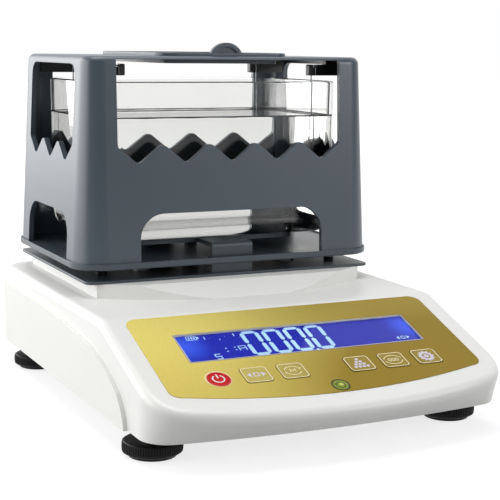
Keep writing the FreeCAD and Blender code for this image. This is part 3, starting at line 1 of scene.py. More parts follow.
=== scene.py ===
# %% [markdown]
# # Electronic gold tester
# This lesson dresses a bench instrument that weighs a piece of gold in air and in water.
# Its solids come from a CAD model, already at their places, so nothing is fitted by eye.
# We could model everything again in Blender, but the CAD shapes are exact. So we keep them,
# give them finishes, and add only what CAD leaves out: water, digits, prints, threads.

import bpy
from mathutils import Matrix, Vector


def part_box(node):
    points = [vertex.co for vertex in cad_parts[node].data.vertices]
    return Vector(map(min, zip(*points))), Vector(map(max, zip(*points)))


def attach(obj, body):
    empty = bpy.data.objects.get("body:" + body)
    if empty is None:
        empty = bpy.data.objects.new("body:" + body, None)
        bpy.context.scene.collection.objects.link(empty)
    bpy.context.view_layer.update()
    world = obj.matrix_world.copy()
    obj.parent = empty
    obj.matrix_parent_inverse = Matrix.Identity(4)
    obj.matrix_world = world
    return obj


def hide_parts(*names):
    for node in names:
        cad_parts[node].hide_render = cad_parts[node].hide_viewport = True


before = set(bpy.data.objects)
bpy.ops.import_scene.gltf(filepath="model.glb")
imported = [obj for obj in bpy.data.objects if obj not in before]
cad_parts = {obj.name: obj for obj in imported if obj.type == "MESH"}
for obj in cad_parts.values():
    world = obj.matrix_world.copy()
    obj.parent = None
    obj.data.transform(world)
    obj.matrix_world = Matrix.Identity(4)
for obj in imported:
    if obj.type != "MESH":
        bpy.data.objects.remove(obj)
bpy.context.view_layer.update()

# %% [markdown]
# ## The camera
# The instrument was seen from its front left corner, a little above the deck, with a long
# lens. Matching the camera first means that every later picture can be compared with it.
# A camera could be aimed with a constraint, but a fixed place and fixed axes are easier to
# repeat. The three angles turn, dip and roll it, and the lens is given in millimetres.

# %% Camera at the front left
from math import cos, hypot, pi, radians, sin

import bmesh
import bpy
from mathutils import Matrix, Vector

MM = 0.001
EYE = Vector((-301.72, -648.63, 194.94)) * MM
TURN, DIP, ROLL = 0.446825, -0.156742, 0.011214
LENS = 92.81

ahead = Vector((sin(TURN) * cos(DIP), cos(TURN) * cos(DIP), sin(DIP)))
level = Vector((cos(TURN), -sin(TURN), 0))
above = level.cross(ahead)
across = cos(ROLL) * level + sin(ROLL) * above
upward = cos(ROLL) * above - sin(ROLL) * level

camera_data = bpy.data.cameras.new("camera")
camera_data.lens = LENS
camera_data.sensor_width = 36
camera = bpy.data.objects.new("camera", camera_data)
axes = Matrix((across, upward, -ahead)).transposed().to_4x4()
camera.matrix_world = Matrix.Translation(EYE) @ axes
bpy.context.scene.collection.objects.link(camera)
bpy.context.scene.camera = camera
print("camera at", [round(value, 3) for value in EYE], "lens", LENS, "mm")

# %% [markdown]
# ## Colours as written
# Colours are noted as sRGB hex values, as a paint chart gives them. Blender mixes light in
# linear values, so one function turns a written colour into the value that a shader needs.

# %% From hex to linear
def linear(hex_colour):
    """Linear red, green, blue and alpha of an sRGB hex colour."""
    values = [int(hex_colour[start:start + 2], 16) / 255 for start in (1, 3, 5)]
    return [v / 12.92 if v <= 0.04045 else ((v + 0.055) / 1.055) ** 2.4 for v in values] + [1.0]


print("mid grey #808080 is", round(linear("#808080")[0], 3), "in linear light")

# %% [markdown]
# ## Building node trees
# Every finish is a small tree of nodes. One function adds any node: it gets the kind of the
# node and a table in which each name is a socket or a setting, and each value is a number,
# a colour or another node's output. Outputs are wired, everything else is set. Six short
# functions give what most finishes share: noise, a value moved to another range, a colour
# between two others, a relief, a sum, and the distance from a point.

# %% Functions for nodes
def put(node, name, value):
    """Set or wire one input of a node, or set one of its options."""
    found = [s for s in node.inputs if s.identifier == name]
    found = found or [s for s in node.inputs if s.name == name]
    if not found:
        setattr(node, name, value)
    elif isinstance(value, bpy.types.NodeSocket):
        node.id_data.links.new(value, found[0])
    else:
        found[0].default_value = value


def fill(node, settings):
    """Set or wire several inputs and options of a node."""
    for name, value in settings.items():
        put(node, name, value)


def add(tree, kind, settings):
    """Add a node of any kind with its settings and links."""
    node = tree.nodes.new(kind)
    fill(node, settings)
    return node


def new_finish(name):
    """An empty finish: its tree, its main shader and a source of coordinates."""
    finish = bpy.data.materials.new(name)
    finish.use_nodes = True
    tree = finish.node_tree
    place = add(tree, "ShaderNodeTexCoord", {})
    return finish, tree, tree.nodes["Principled BSDF"], place.outputs["Object"]


def noise(tree, spot, size_mm, detail=2.0):
    """Soft random patches of one size."""
    return add(tree, "ShaderNodeTexNoise", {
        "Vector": spot, "Scale": 1000 / size_mm, "Detail": detail}).outputs["Fac"]


def ramp(tree, value, low, high, start=0.0, stop=1.0, kind="LINEAR"):
    """A value moved from the range start to stop into the range low to high."""
    return add(tree, "ShaderNodeMapRange", {
        "Value": value, "From Min": start, "From Max": stop, "To Min": low, "To Max": high,
        "interpolation_type": kind}).outputs["Result"]


def mixed(tree, share, first, second):
    """A colour between two colours."""
    return add(tree, "ShaderNodeMix", {
        "data_type": "RGBA", "Factor_Float": share,
        "A_Color": first, "B_Color": second}).outputs[MIXED_COLOUR]


def relief(tree, height, strength, depth_mm, **under):
    """Normals bent as if the surface had this height."""
    return add(tree, "ShaderNodeBump", {
        "Height": height, "Strength": strength, "Distance": depth_mm * MM, **under}).outputs["Normal"]


def maths(tree, operation, first, second):
    """The result of one sum on two values."""
    return add(tree, "ShaderNodeMath", {
        "operation": operation, "Value": first, "Value_001": second}).outputs["Value"]


def distance(tree, spot, point_mm):
    """How far a spot is from a point that is given in millimetres."""
    return add(tree, "ShaderNodeVectorMath", {
        "operation": "DISTANCE", "Vector": spot,
        "Vector_001": [value * MM for value in point_mm]}).outputs["Value"]


# A Mix node has one result for each kind of value, and its colour is the third.
MIXED_COLOUR = 2
SOFT = "SMOOTHSTEP"
print("node helpers ready")

# %% [markdown]
# ## Moulded plastics
# Most of the instrument is injection-moulded ABS. The steel mould was spark-eroded, which
# leaves a grain of about half a millimetre that softens reflections. The eye also sees a
# very faint cloudiness where the melt flowed. Noise at two scales gives both: a wide one
# for the tone and the gloss, and a fine one, as a bump, for the grain. No moulding has a
# knife edge either, so a Bevel node turns the normals near each edge, and edges catch
# thin light lines. A photographed texture would also do, but it would have to be unwrapped
# onto every piece.

# %% Moulded plastic helper
ABS_INDEX, GRAIN_STRENGTH, BEVEL_SAMPLES = 1.53, 0.5, 4


def moulded(name, tone, deep, gloss, grain_mm, relief_mm, cloud_mm=45.0, edge_mm=0.3,
            mirror=0.5, uneven=0.04):
    """Plastic whose tone drifts between two colours, with fine grain and soft edges."""
    finish, tree, shader, spot = new_finish(name)
    cloud = noise(tree, spot, cloud_mm)
    edge = add(tree, "ShaderNodeBevel", {"samples": BEVEL_SAMPLES, "Radius": edge_mm * MM})
    fill(shader, {
        "Base Color": mixed(tree, cloud, linear(deep), linear(tone)),
        "Roughness": ramp(tree, cloud, gloss - uneven, gloss + uneven),
        "Normal": relief(tree, noise(tree, spot, grain_mm), GRAIN_STRENGTH, relief_mm,
                         Normal=edge.outputs["Normal"]),
        "IOR": ABS_INDEX, "Specular IOR Level": mirror})
    return finish


# The cover is a warm white satin ABS: bright, with soft broad highlights on its bends.
cover_white = moulded("abs_white_satin", "#F1F1EF", "#ECECE9", 0.36, 0.6, 0.010)
# The base is the same ABS from another mould; its trace greyer tone is painted shade under the step.
shaded_skirt_white = moulded("abs_white_skirt", "#EDEDEA", "#E8E8E4", 0.40, 0.6, 0.010)
# Rack, tray and pan are slate grey ABS with more gloss, so edges catch thin light lines.
slate = moulded("abs_slate_gloss", "#495662", "#44505B", 0.33, 0.8, 0.008,
                edge_mm=0.5, mirror=0.68, uneven=0.01)
slate_tray = moulded("abs_slate_tray", "#46525B", "#414C55", 0.30, 0.8, 0.008,
                     edge_mm=0.4, uneven=0.01)
# The lower plate and the stand are powder-coated in a darker slate.
slate_plate = moulded("powder_coat_slate", "#3F4A52", "#3A444B", 0.34, 0.8, 0.008, edge_mm=0.4)
# Wheels and socket are deep black nylon. Hook arms and the tray's knob shine a little more.
nylon_black = moulded("nylon_black", "#08080A", "#050506", 0.42, 0.5, 0.010, mirror=0.2)
arm_black = moulded("nylon_black_arm", "#121417", "#0C0E10", 0.34, 0.5, 0.008)
knob_black = moulded("phenolic_black_knob", "#141414", "#0D0D0D", 0.22, 0.6, 0.006)
print("plastics:", len(bpy.data.materials))

# %% [markdown]
# ## Gold film
# The control panel is a polyester film, printed with gold pigment on its back. Its metal
# flakes give a satin glow. Its colour carries painted light: a painted highlight of pale gold
# at the left and the top, where the panel looks into the light, and painted shade of deep gold
# at the right and along the front. So the tone follows two gradients, across the panel and
# down it. The flakes also sparkle, finer than a tenth of a millimetre. That is too fine for
# the picture, so they are drawn at about a third of one: cells of a Voronoi pattern, whose
# random colour nudges the tone. It is cheaper than modelling flakes, and it looks the same
# from arm's length.

# %% Gold film helper
# Places of the painted highlight (palest tone) and the painted shade (deepest tone), in metres, and how far
# each gradient goes.
PAINTED_LIGHT_X, PAINTED_SHADE_X, ACROSS_SHARE = -0.065, 0.06, 0.9
PAINTED_LIGHT_Y, PAINTED_SHADE_Y, DOWN_SHARE = -0.055, -0.13, 0.5
SPARKLE, FLAKE_METAL = 0.06, 0.85


def gold_film(name, light, dark, gloss, flake_mm=0.35):
    """Metallic print with painted highlight and shade: its tone falls off across and down the panel, and it
    sparkles a little.
    """
    finish, tree, shader, spot = new_finish(name)
    split = add(tree, "ShaderNodeSeparateXYZ", {"Vector": spot})
    # Painted highlight and shade: the share of deep gold grows to the right and down towards the front.
    painted_shade_share = maths(tree, "ADD", ramp(tree, split.outputs["X"], 0.0, ACROSS_SHARE, PAINTED_LIGHT_X, PAINTED_SHADE_X, SOFT),
                 ramp(tree, split.outputs["Y"], 0.0, DOWN_SHARE, PAINTED_LIGHT_Y, PAINTED_SHADE_Y, SOFT))
    flakes = add(tree, "ShaderNodeTexVoronoi", {"Vector": spot, "Scale": 1000 / flake_mm})
    colour = add(tree, "ShaderNodeVectorMath", {
        "operation": "SCALE", "Vector": mixed(tree, painted_shade_share, linear(light), linear(dark)),
        "Scale": ramp(tree, flakes.outputs["Color"], 1 - SPARKLE, 1 + SPARKLE)})
    fill(shader, {
        "Base Color": colour.outputs["Vector"], "Metallic": FLAKE_METAL, "Roughness": gloss,
        "Normal": relief(tree, flakes.outputs["Distance"], 0.12, 0.01)})
    return finish


# Both films carry a painted highlight at the left and top and painted shade at the right and front.
panel_gold = gold_film("polyester_gold_print", "#EBDB7A", "#90791E", 0.46)
key_gold = gold_film("polyester_gold_keys", "#E6D780", "#988332", 0.38)
print("gold films ready")

# %% [markdown]
# ## Metals
# Wires, screws and the weighing beam are metal. Machined and drawn metal has fine lines in
# one direction, and a screw head has turned rings. Both are noise that is stretched: a
# Mapping node squeezes it across the lines. The lines change the roughness and the bump,
# because that is what makes brushed metal streak.

# %% Brushed metal helper
GROOVE_TONE, GROOVE_GLOSS = 0.85, 0.06


def brushed(name, tone, gloss, line_mm, along=(1.0, 1.0, 1.0)):
    """Bare metal with lines of one pitch, drawn out along one direction."""
    finish, tree, shader, spot = new_finish(name)
    stretch = add(tree, "ShaderNodeMapping", {"Vector": spot, "Scale": along})
    lines = noise(tree, stretch.outputs["Vector"], line_mm)
    groove = [value * GROOVE_TONE for value in linear(tone)[:3]] + [1.0]
    fill(shader, {
        "Base Color": mixed(tree, lines, groove, linear(tone)), "Metallic": 1.0,
        "Roughness": ramp(tree, lines, gloss - GROOVE_GLOSS, gloss + GROOVE_GLOSS),
        "Normal": relief(tree, lines, 0.2, 0.01)})
    return finish


# Drawn stainless wire: bright, nearly mirror, faint lines along its length.
wire_steel = brushed("stainless_drawn_wire", "#8E9498", 0.22, 0.3, (1.0, 1.0, 0.1))
# Pressed stainless basket: softer, from the rolled sheet.
basket_steel = brushed("stainless_rolled_sheet", "#A9B0B5", 0.28, 0.5, (0.1, 1.0, 1.0))
# Zinc-plated screws: bluish and a little cloudy.
screw_zinc = brushed("steel_zinc_plated", "#B7BCC4", 0.30, 0.2)
# The load cell is milled aluminium, the spider above it is cast and sandier.
cell_aluminium = brushed("aluminium_milled", "#C9CCCE", 0.32, 0.25, (0.05, 1.0, 1.0))
spider_aluminium = brushed("aluminium_cast", "#A9ADB0", 0.50, 0.8)
insert_brass = brushed("brass_turned", "#B99A4B", 0.30, 0.2, (1.0, 1.0, 0.1))
# Blackened screws and studs: dark, with turned rings.
stud_steel = brushed("steel_blackened", "#2B2C2E", 0.38, 0.2, (1.0, 1.0, 3.0))
print("metals ready")

# %% [markdown]
# ## Clear plastic and water
# The tank is a clear moulded acrylic, index 1.49, and holds water, index 1.33. Clear things
# are never perfect: acrylic has slight flow waves, which bend what is seen through it, and
# water has long soft ripples. Each gets a very weak bump. The water is a solid of its own
# that reaches a little into the wall, because a gap of air would look like a silver skin.
# The display window is coated against glare. A coating cancels most of the mirror image
# that the index alone would give, so the window gets an index close to that of air.

# %% Clear finishes
WAVE_HAZE = 0.02


def clear(name, tint, index, gloss, wave_mm, relief_mm):
    """See-through solid with slow waves in its surface."""
    finish, tree, shader, spot = new_finish(name)
    waves = noise(tree, spot, wave_mm, detail=1.0)
    fill(shader, {
        "Base Color": linear(tint), "Transmission Weight": 1.0, "IOR": index,
        "Roughness": ramp(tree, waves, gloss, gloss + WAVE_HAZE),
        "Normal": relief(tree, waves, 0.3, relief_mm)})
    return finish


tank_acrylic = clear("acrylic_clear_moulded", "#F6F6F5", 1.49, 0.0, 30.0, 0.05)
water_clear = clear("water_still", "#F4F5F4", 1.333, 0.0, 60.0, 0.02)
lens_acrylic = clear("acrylic_display_window", "#FFFFFF", 1.12, 0.02, 20.0, 0.01)
print("clear finishes ready")

# %% [markdown]
# ## The lit display
# The display is a blue liquid crystal panel, lit from both ends by diodes. So its blue is
# brightest at the left and right ends and deepest in the middle. Two round gradients, each
# measured from one end, are added up and drive both the colour and the light it gives off.

# %% Blue backlight
GLOW_INNER, GLOW_OUTER = 0.001, 0.017


def backlight(name, deep, bright, strength, ends):
    """Glowing panel, brighter around some points on its face, given in millimetres."""
    finish, tree, shader, spot = new_finish(name)
    glow = None
    for end in ends:
        near = ramp(tree, distance(tree, spot, end), 1.0, 0.0, GLOW_INNER, GLOW_OUTER, SOFT)
        glow = near if glow is None else maths(tree, "ADD", glow, near)
    colour = mixed(tree, glow, linear(deep), linear(bright))
    fill(shader, {
        "Base Color": colour, "Emission Color": colour, "Emission Strength": strength,
        "Roughness": 0.5, "Specular IOR Level": 0.1})
    return finish


display_blue = backlight("lcd_blue_backlight", "#131C8A", "#2A46BE", 0.43,
                         [(-64.0, -78.0, 49.4), (66.0, -78.0, 49.4)])
print("display backlight ready")

# %% [markdown]
# ## Prints, paints and small finishes
# Key outlines and symbols are single inks, but even ink has a slightly uneven edge and
# film. The helper for moulded plastic gives that too, with a much finer cloud.

# %% Inks and small finishes
ink_cream = moulded("ink_cream", "#FBF1CC", "#F2E4B0", 0.40, 0.2, 0.004, 6.0)
ink_lilac = moulded("ink_pale_lilac", "#E3DDEA", "#D6CEDF", 0.40, 0.2, 0.004, 6.0)
ink_white = moulded("ink_white", "#FBFAF8", "#F2F0EC", 0.38, 0.2, 0.004, 6.0)
lens_border = moulded("ink_silver_border", "#D2D0C9", "#BDBAB0", 0.42, 0.2, 0.004, 8.0)
# The power key is glossy red polycarbonate.
key_red = moulded("polycarbonate_red", "#D4000E", "#C0000A", 0.26, 0.5, 0.006, 12.0, mirror=0.2)
# Its ring is moulded in two shots: red like the key on the inside, and cream at the rim.
RING_AT, RING_SPLIT, SPLIT_BLUR = (-58.3, -108.0, 38.9), 6.0, 0.1
ring_cream = moulded("polycarbonate_two_shot_ring", "#F3E2B4", "#EBC79A", 0.32, 0.5, 0.006, 5.0)
tree = ring_cream.node_tree
shader = tree.nodes["Principled BSDF"]
cream = shader.inputs["Base Color"].links[0].from_socket
place = add(tree, "ShaderNodeTexCoord", {})
rim = ramp(tree, distance(tree, place.outputs["Object"], RING_AT), 0.0, 1.0,
           (RING_SPLIT - SPLIT_BLUR) * MM, (RING_SPLIT + SPLIT_BLUR) * MM)
put(shader, "Base Color", mixed(tree, rim, linear("#CC0410"), cream))
# Circuit boards: a green solder mask that is a little uneven.
board_green = moulded("fr4_solder_mask", "#2C6B3C", "#22562F", 0.35, 0.9, 0.02, 20.0)
# The level's liquid is a green oil. At this size a smooth green with little shine does for it.
vial_green = moulded("spirit_level_green", "#8C9A22", "#6E8012", 0.20, 3.0, 0.004, 8.0, mirror=0.25)
vial_dark = moulded("spirit_level_ring", "#333C0C", "#262E06", 0.30, 1.0, 0.004, 3.0, mirror=0.25)
vial_bubble = moulded("spirit_level_bubble", "#D0D866", "#B8C44A", 0.10, 1.0, 0.002, 3.0)
# Liquid crystal digits are clear gaps in the blue, so the pale backlight shows as a glow.
digit_glow = backlight("lcd_pale_segments", "#8FAFCC", "#9DBAD3", 0.42, [(0.0, -80.0, 49.0)])
print("finishes so far:", len(bpy.data.materials))

# %% [markdown]
# ## Dressing the solids
# Each solid keeps its shape and only gets its finish, in every one of its slots.

# %% Which finish on which solid
DRESS = {
    cover_white: ["upper_housing"],
    shaded_skirt_white: ["lower_housing"],
    panel_gold: ["control_panel"],
    key_gold: ["key_one", "key_two", "key_three", "key_four", "key_five"],
    key_red: ["power_key"],
    ring_cream: ["power_ring"],
    lens_acrylic: ["lcd_window"],
    display_blue: ["lcd_module"],
    vial_green: ["level_vial"],
    board_green: ["key_board", "main_board"],
    cell_aluminium: ["load_cell"],
    spider_aluminium: ["load_cell_mount", "load_bridge"],
    screw_zinc: ["load_cell_screws", "bridge_screws", "housing_screws", "stand_screws"],
    nylon_black: ["dc_inlet", "foot_wheel_front_left", "foot_wheel_front_right",
                  "foot_wheel_rear_left", "foot_wheel_rear_right"],
    stud_steel: ["foot_stud_front_left", "foot_stud_front_right",
                 "foot_stud_rear_left", "foot_stud_rear_right", "plate_screws", "hook_screws"],
    insert_brass: ["foot_inserts"],
    slate_plate: ["tank_base_plate", "tank_stand"],
    slate_tray: ["weighing_tray"],
    knob_black: ["tray_screw"],
    tank_acrylic: ["tank"],
    slate: ["rack", "air_pan"],
    arm_black: ["hook_arm_front_left", "hook_arm_front_right",
                "hook_arm_rear_left", "hook_arm_rear_right"],
    wire_steel: ["basket_wires"],
    basket_steel: ["basket"],
}


def dress(piece, finish):
    """Give a piece one finish in all of its slots."""
    piece.data.materials.clear()
    piece.data.materials.append(finish)


for finish, names in DRESS.items():
    for name in names:
        dress(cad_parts[name], finish)
bare = set(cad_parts) - {name for names in DRESS.values() for name in names}
print("solids dressed:", len(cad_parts) - len(bare), "left bare:", sorted(bare))

# %% [markdown]
# ## Making new pieces
# A new piece is a mesh whose points are written in the frame of the whole object, so its
# object stays at the origin. It rides on the body that carries it, and gets its finish.

# %% From points to a piece
def make_piece(name, bm, finish, body, smooth=False):
    """Turn edited mesh data into a piece that rides on a body."""
    bmesh.ops.recalc_face_normals(bm, faces=bm.faces)
    mesh = bpy.data.meshes.new(name)
    bm.to_mesh(mesh)
    bm.free()
    mesh.polygons.foreach_set("use_smooth", [smooth] * len(mesh.polygons))
    mesh.materials.append(finish)
    piece = bpy.data.objects.new(name, mesh)
    bpy.context.scene.collection.objects.link(piece)
    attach(piece, body)
    return piece


print("piece helper ready")

# %% [markdown]
# ## Water in the tank
# The water fills the tank to about three quarters. Its outline is the tank's own room: a
# rectangle with round corners that grows a little with height, and a rounded bottom. At
# the wall the surface climbs about a millimetre, which draws the dark line seen around a
# filled tank. Rings of points, stacked and joined, follow that shape exactly.

# %% Rings of the tank's room
TANK_RIM, TANK_FLOOR, WATER_TOP, MIDDLE_Y = 175.2, 89.0, 154.9, 65.0
TANK_HALF_X, TANK_HALF_Y, TANK_CORNER, TANK_DRAFT = 72.0, 47.0, 11.0, 0.01135
FOOT_ROUND, INTO_WALL, CORNER_STEPS, FOOT_STEPS, NEXT_RING = 7.0, 0.06, 10, 8, 0.3
# Height over the water's level, and distance from the wall, of each ring at the surface.
CLIMB = ((-0.3, 0.0), (0.9, 0.0), (0.35, 0.5), (0.1, 1.2), (0.0, 2.6), (0.0, 3.2))


def rounded_ring(inset, height):
    """Points of the tank's outline at one height, drawn in by some distance."""
    ring = []
    for turn, (sx, sy) in enumerate(((1, 1), (-1, 1), (-1, -1), (1, -1))):
        for step in range(CORNER_STEPS + 1):
            angle = (turn + step / CORNER_STEPS) * pi / 2
            x = sx * (TANK_HALF_X - TANK_CORNER) + (TANK_CORNER - inset) * cos(angle)
            y = sy * (TANK_HALF_Y - TANK_CORNER) + (TANK_CORNER - inset) * sin(angle)
            ring.append(Vector((x, MIDDLE_Y + y, height)) * MM)
    return ring


def wall_inset(height):
    """How far the tapered wall stands in at one height, less the water's overlap with it."""
    return (TANK_RIM - height) * TANK_DRAFT - INTO_WALL


def stack(bm, rings):
    """Join rings of equal length into a skin, close its foot, and give its last ring."""
    rows = [[bm.verts.new(point) for point in ring] for ring in rings]
    for low, high in zip(rows, rows[1:]):
        for at in range(len(low)):
            after = (at + 1) % len(low)
            bm.faces.new((low[at], low[after], high[after], high[at]))
    bm.faces.new(rows[0][::-1])
    return rows[-1]


# %% The water itself
rings = []
foot_inset = wall_inset(TANK_FLOOR + FOOT_ROUND)
for step in range(FOOT_STEPS + 1):
    angle = step / FOOT_STEPS * pi / 2
    height = TANK_FLOOR + FOOT_ROUND * (1 - cos(angle)) - INTO_WALL
    rings.append(rounded_ring(FOOT_ROUND * (1 - sin(angle)) + foot_inset, height))
# One more ring, close above the foot, keeps its smooth shading off the wall.
rings.append(rounded_ring(foot_inset, height + NEXT_RING))
for rise_by, pull in CLIMB:
    height = WATER_TOP + rise_by
    rings.append(rounded_ring(wall_inset(height) + pull, height))
bm = bmesh.new()
bm.faces.new(stack(bm, rings))
water = make_piece("water", bm, water_clear, "tank", smooth=True)
print("water:", len(water.data.polygons), "faces, top at", WATER_TOP, "mm")

# %% [markdown]
# ## Prints on the sloped panel
# The panel is a plane that leans back, so its prints are drawn flat, in millimetres across
# and up the slope, and then laid on it. Each print has a real, very small thickness. Lines
# become ribbons of one width along a path, and solid marks become slabs. Text objects could
# draw the digits, but ribbons and slabs give the exact segments of such a display.

# %% The sloping plane
SLOPE_AT = Vector((0.0, -68.8, 52.7))
LEAN = radians(19.7)
UP_SLOPE = Vector((0.0, cos(LEAN), sin(LEAN)))
OFF_SLOPE = Vector((0.0, -sin(LEAN), cos(LEAN)))
# Each print reaches from just under a surface to just over it, in mm off the panel.
ON_GLASS, ON_LENS, ON_CAP, ON_VIAL = (-1.37, -1.32), (0.29, 0.33), (0.54, 0.60), (0.28, 0.35)
CAP_TOP, MITRE_LIMIT, SHORTEST = 0.55, 0.35, 1e-6


def on_slope(x, down, lift):
    """A point given across the panel, down its slope and off its surface, in metres."""
    return (SLOPE_AT + Vector((x, 0, 0)) - UP_SLOPE * down + OFF_SLOPE * lift) * MM


def slab(bm, outline, layer):
    """A flat mark with the given outline."""
    bottom, top = [[bm.verts.new(on_slope(x, down, lift)) for x, down in outline] for lift in layer]
    bm.faces.new(bottom)
    bm.faces.new(top[::-1])
    for at in range(len(outline)):
        after = (at + 1) % len(outline)
        bm.faces.new((bottom[after], bottom[at], top[at], top[after]))


def ribbon(bm, path, width, layer, closed=False):
    """A line of one width along a path, with mitred corners."""
    low, high = layer
    count, rails = len(path), []
    for at, (x, down) in enumerate(path):
        next_point = path[(at + 1) % count] if closed or at < count - 1 else path[at]
        last_point = path[at - 1] if closed or at else path[at]
        sides = []
        for (x0, d0), (x1, d1) in ((last_point, path[at]), (path[at], next_point)):
            length = hypot(x1 - x0, d1 - d0)
            if length > SHORTEST:
                sides.append(Vector((-(d1 - d0) / length, (x1 - x0) / length)))
        normal = sum(sides, Vector((0, 0)))
        normal = normal / max(normal.length_squared / len(sides), MITRE_LIMIT)
        half = normal * width / 2
        rails.append([bm.verts.new(on_slope(x + s * half.x, down + s * half.y, lift))
                      for s, lift in ((-1, low), (1, low), (1, high), (-1, high))])
    for start, end in zip(rails, rails[1:] + ([rails[0]] if closed else [])):
        for side in range(4):
            after = (side + 1) % 4
            bm.faces.new((start[side], start[after], end[after], end[side]))
    if not closed:
        bm.faces.new(rails[0][::-1])
        bm.faces.new(rails[-1])


def arc(x, down, radius, start, stop, steps=18, squash=1.0):
    """Points of an arc around a centre, in degrees, clockwise as seen from above."""
    turns = [radians(start + (stop - start) * step / steps) for step in range(steps + 1)]
    return [(x + radius * cos(turn), down + radius * squash * sin(turn)) for turn in turns]


def round_path(left, right, top, foot, corner, steps=5):
    """A closed rectangle with round corners."""
    path = []
    for x, down, start in ((right - corner, top + corner, -90), (right - corner, foot - corner, 0),
                           (left + corner, foot - corner, 90), (left + corner, top + corner, 180)):
        path += arc(x, down, corner, start, start + 90, steps)
    return path


def print_piece(name, draw, finish, body, smooth=False):
    """Draw a print with one function and lay it on the panel."""
    bm = bmesh.new()
    draw(bm)
    return make_piece(name, bm, finish, body, smooth)


print("panel leans back", round(LEAN * 180 / pi, 1), "degrees")

# %% [markdown]
# ## Digits on the display
# The display reads 000.0. Each nought is built from six of the seven segments of such a
# display, with mitred ends and hairline gaps between them. Around them sit the small marks
# that such displays light: a battery, a few dots, and symbols at the right end.

# %% Segments
DIGIT_WIDTH, DIGIT_PITCH, DIGIT_TOP, DIGIT_FOOT = 10.4, 12.1, 0.8, 23.2
DIGITS_LEFT, SEGMENT, GAP, POINT_RADIUS = -30.7, 2.3, 0.2, 0.95


def segment(bm, start, end):
    """One bar of a digit, with a pointed mitre at each end."""
    (x0, d0), (x1, d1) = start, end
    length = hypot(x1 - x0, d1 - d0)
    ux, ud = (x1 - x0) / length, (d1 - d0) / length
    half = SEGMENT / 2
    outline = []
    for along_by, off in ((GAP, 0), (half + GAP, -half), (length - half - GAP, -half),
                          (length - GAP, 0), (length - half - GAP, half), (half + GAP, half)):
        outline.append((x0 + ux * along_by - ud * off, d0 + ud * along_by + ux * off))
    slab(bm, outline, ON_GLASS)


def nought(bm, left):
    """The six outer segments of one digit."""
    half = SEGMENT / 2
    x0, x1 = left + half, left + DIGIT_WIDTH - half
    top, foot = DIGIT_TOP + half, DIGIT_FOOT - half
    middle = (top + foot) / 2
    ends = ((x0, top), (x1, top), (x1, middle), (x1, foot), (x0, foot), (x0, middle))
    for start, end in zip(ends, ends[1:] + ends[:1]):
        segment(bm, start, end)


def draw_digits(bm):
    for place in range(4):
        nought(bm, DIGITS_LEFT + place * DIGIT_PITCH)
    point = DIGITS_LEFT + 3 * DIGIT_PITCH - (DIGIT_PITCH - DIGIT_WIDTH) / 2
    slab(bm, arc(point, DIGIT_FOOT + 0.1, POINT_RADIUS, 0, 340, 17), ON_GLASS)


digits = print_piece("lcd_digits", draw_digits, digit_glow, "base")
print("digits:", len(digits.data.polygons), "faces")

# %% Small marks on the display
# Blocks by left, top, width and height: the battery's cap and bars, then dots and strokes.
MARK_BLOCKS = (
    (-54.0, 1.9, 1.0, 1.4), (-58.6, 1.7, 0.8, 1.8), (-57.2, 1.7, 0.8, 1.8), (-55.8, 1.7, 0.8, 1.8),
    (-50.4, 2.2, 0.5, 2.6), (-34.2, 1.6, 0.6, 2.4), (-42.9, 5.6, 0.6, 0.6), (-43.2, 13.9, 0.8, 0.8),
    (-43.2, 16.6, 0.8, 0.8), (-38.2, 13.6, 0.7, 0.7), (-38.2, 16.0, 0.7, 0.7))
MARK_ARROWS = (((52.6, 20.2), (54.4, 18.6), (54.4, 21.8)), ((60.6, 20.2), (58.8, 18.6), (58.8, 21.8)))
MARK_LINES = (
    (0.5, ((-35.9, 17.3), (-35.9, 13.4), (-32.2, 13.4), (-32.2, 17.3))),
    (0.5, ((-35.5, 15.4), (-32.6, 15.4))),
    (0.6, ((-47.9, 18.6), (-50.7, 18.6), (-50.7, 20.7), (-47.9, 20.7), (-47.9, 22.8), (-50.7, 22.8))))


def draw_marks(bm):
    ribbon(bm, round_path(-59.6, -54.2, 1.0, 4.2, 0.3, 2), 0.45, ON_GLASS, closed=True)
    ribbon(bm, arc(56.6, 20.2, 1.2, 0, 340, 17), 0.55, ON_GLASS)
    for x, down, width, height in MARK_BLOCKS:
        slab(bm, [(x, down), (x + width, down), (x + width, down + height), (x, down + height)], ON_GLASS)
    for outline in MARK_ARROWS:
        slab(bm, outline, ON_GLASS)
    for width, path in MARK_LINES:
        ribbon(bm, path, width, ON_GLASS)


marks = print_piece("lcd_marks", draw_marks, digit_glow, "base")
print("marks:", len(marks.data.polygons), "faces")

# %% [markdown]
# ## The window's printed border
# A pale line runs around the display on the window's top, where its print ends.

# %% Border of the window
HALF_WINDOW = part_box("lcd_window")[1].x / MM
BORDER_IN, BORDER_FOOT, BORDER_CORNER, BORDER_WIDTH = 0.45, 25.25, 0.6, 0.5


def draw_border(bm):
    side = HALF_WINDOW - BORDER_IN
    ribbon(bm, round_path(-side, side, BORDER_IN, BORDER_FOOT, BORDER_CORNER, 3), BORDER_WIDTH,
           ON_LENS, closed=True)


print_piece("window_border", draw_border, lens_border, "base")
print("window is", round(2 * HALF_WINDOW, 1), "mm wide")

# %% [markdown]
# ## Key outlines and symbols
# Each square key is edged with a cream line and carries a symbol: arrows, a turning pair of
# arcs, a heap of balls for counting, an oval, and a toothed ring for settings. The power
# key carries the usual broken ring. They ride on the keys, so they go down with them.

# %% Outline of a key
KEY_HALF_X, KEY_HALF_Y, TOP_EDGE = 7.0, 6.25, 0.3
OUTLINE_IN, OUTLINE_CORNER, OUTLINE_WIDTH = 0.35, 1.7, 0.55
KEYS = ("key_one", "key_two", "key_three", "key_four", "key_five")


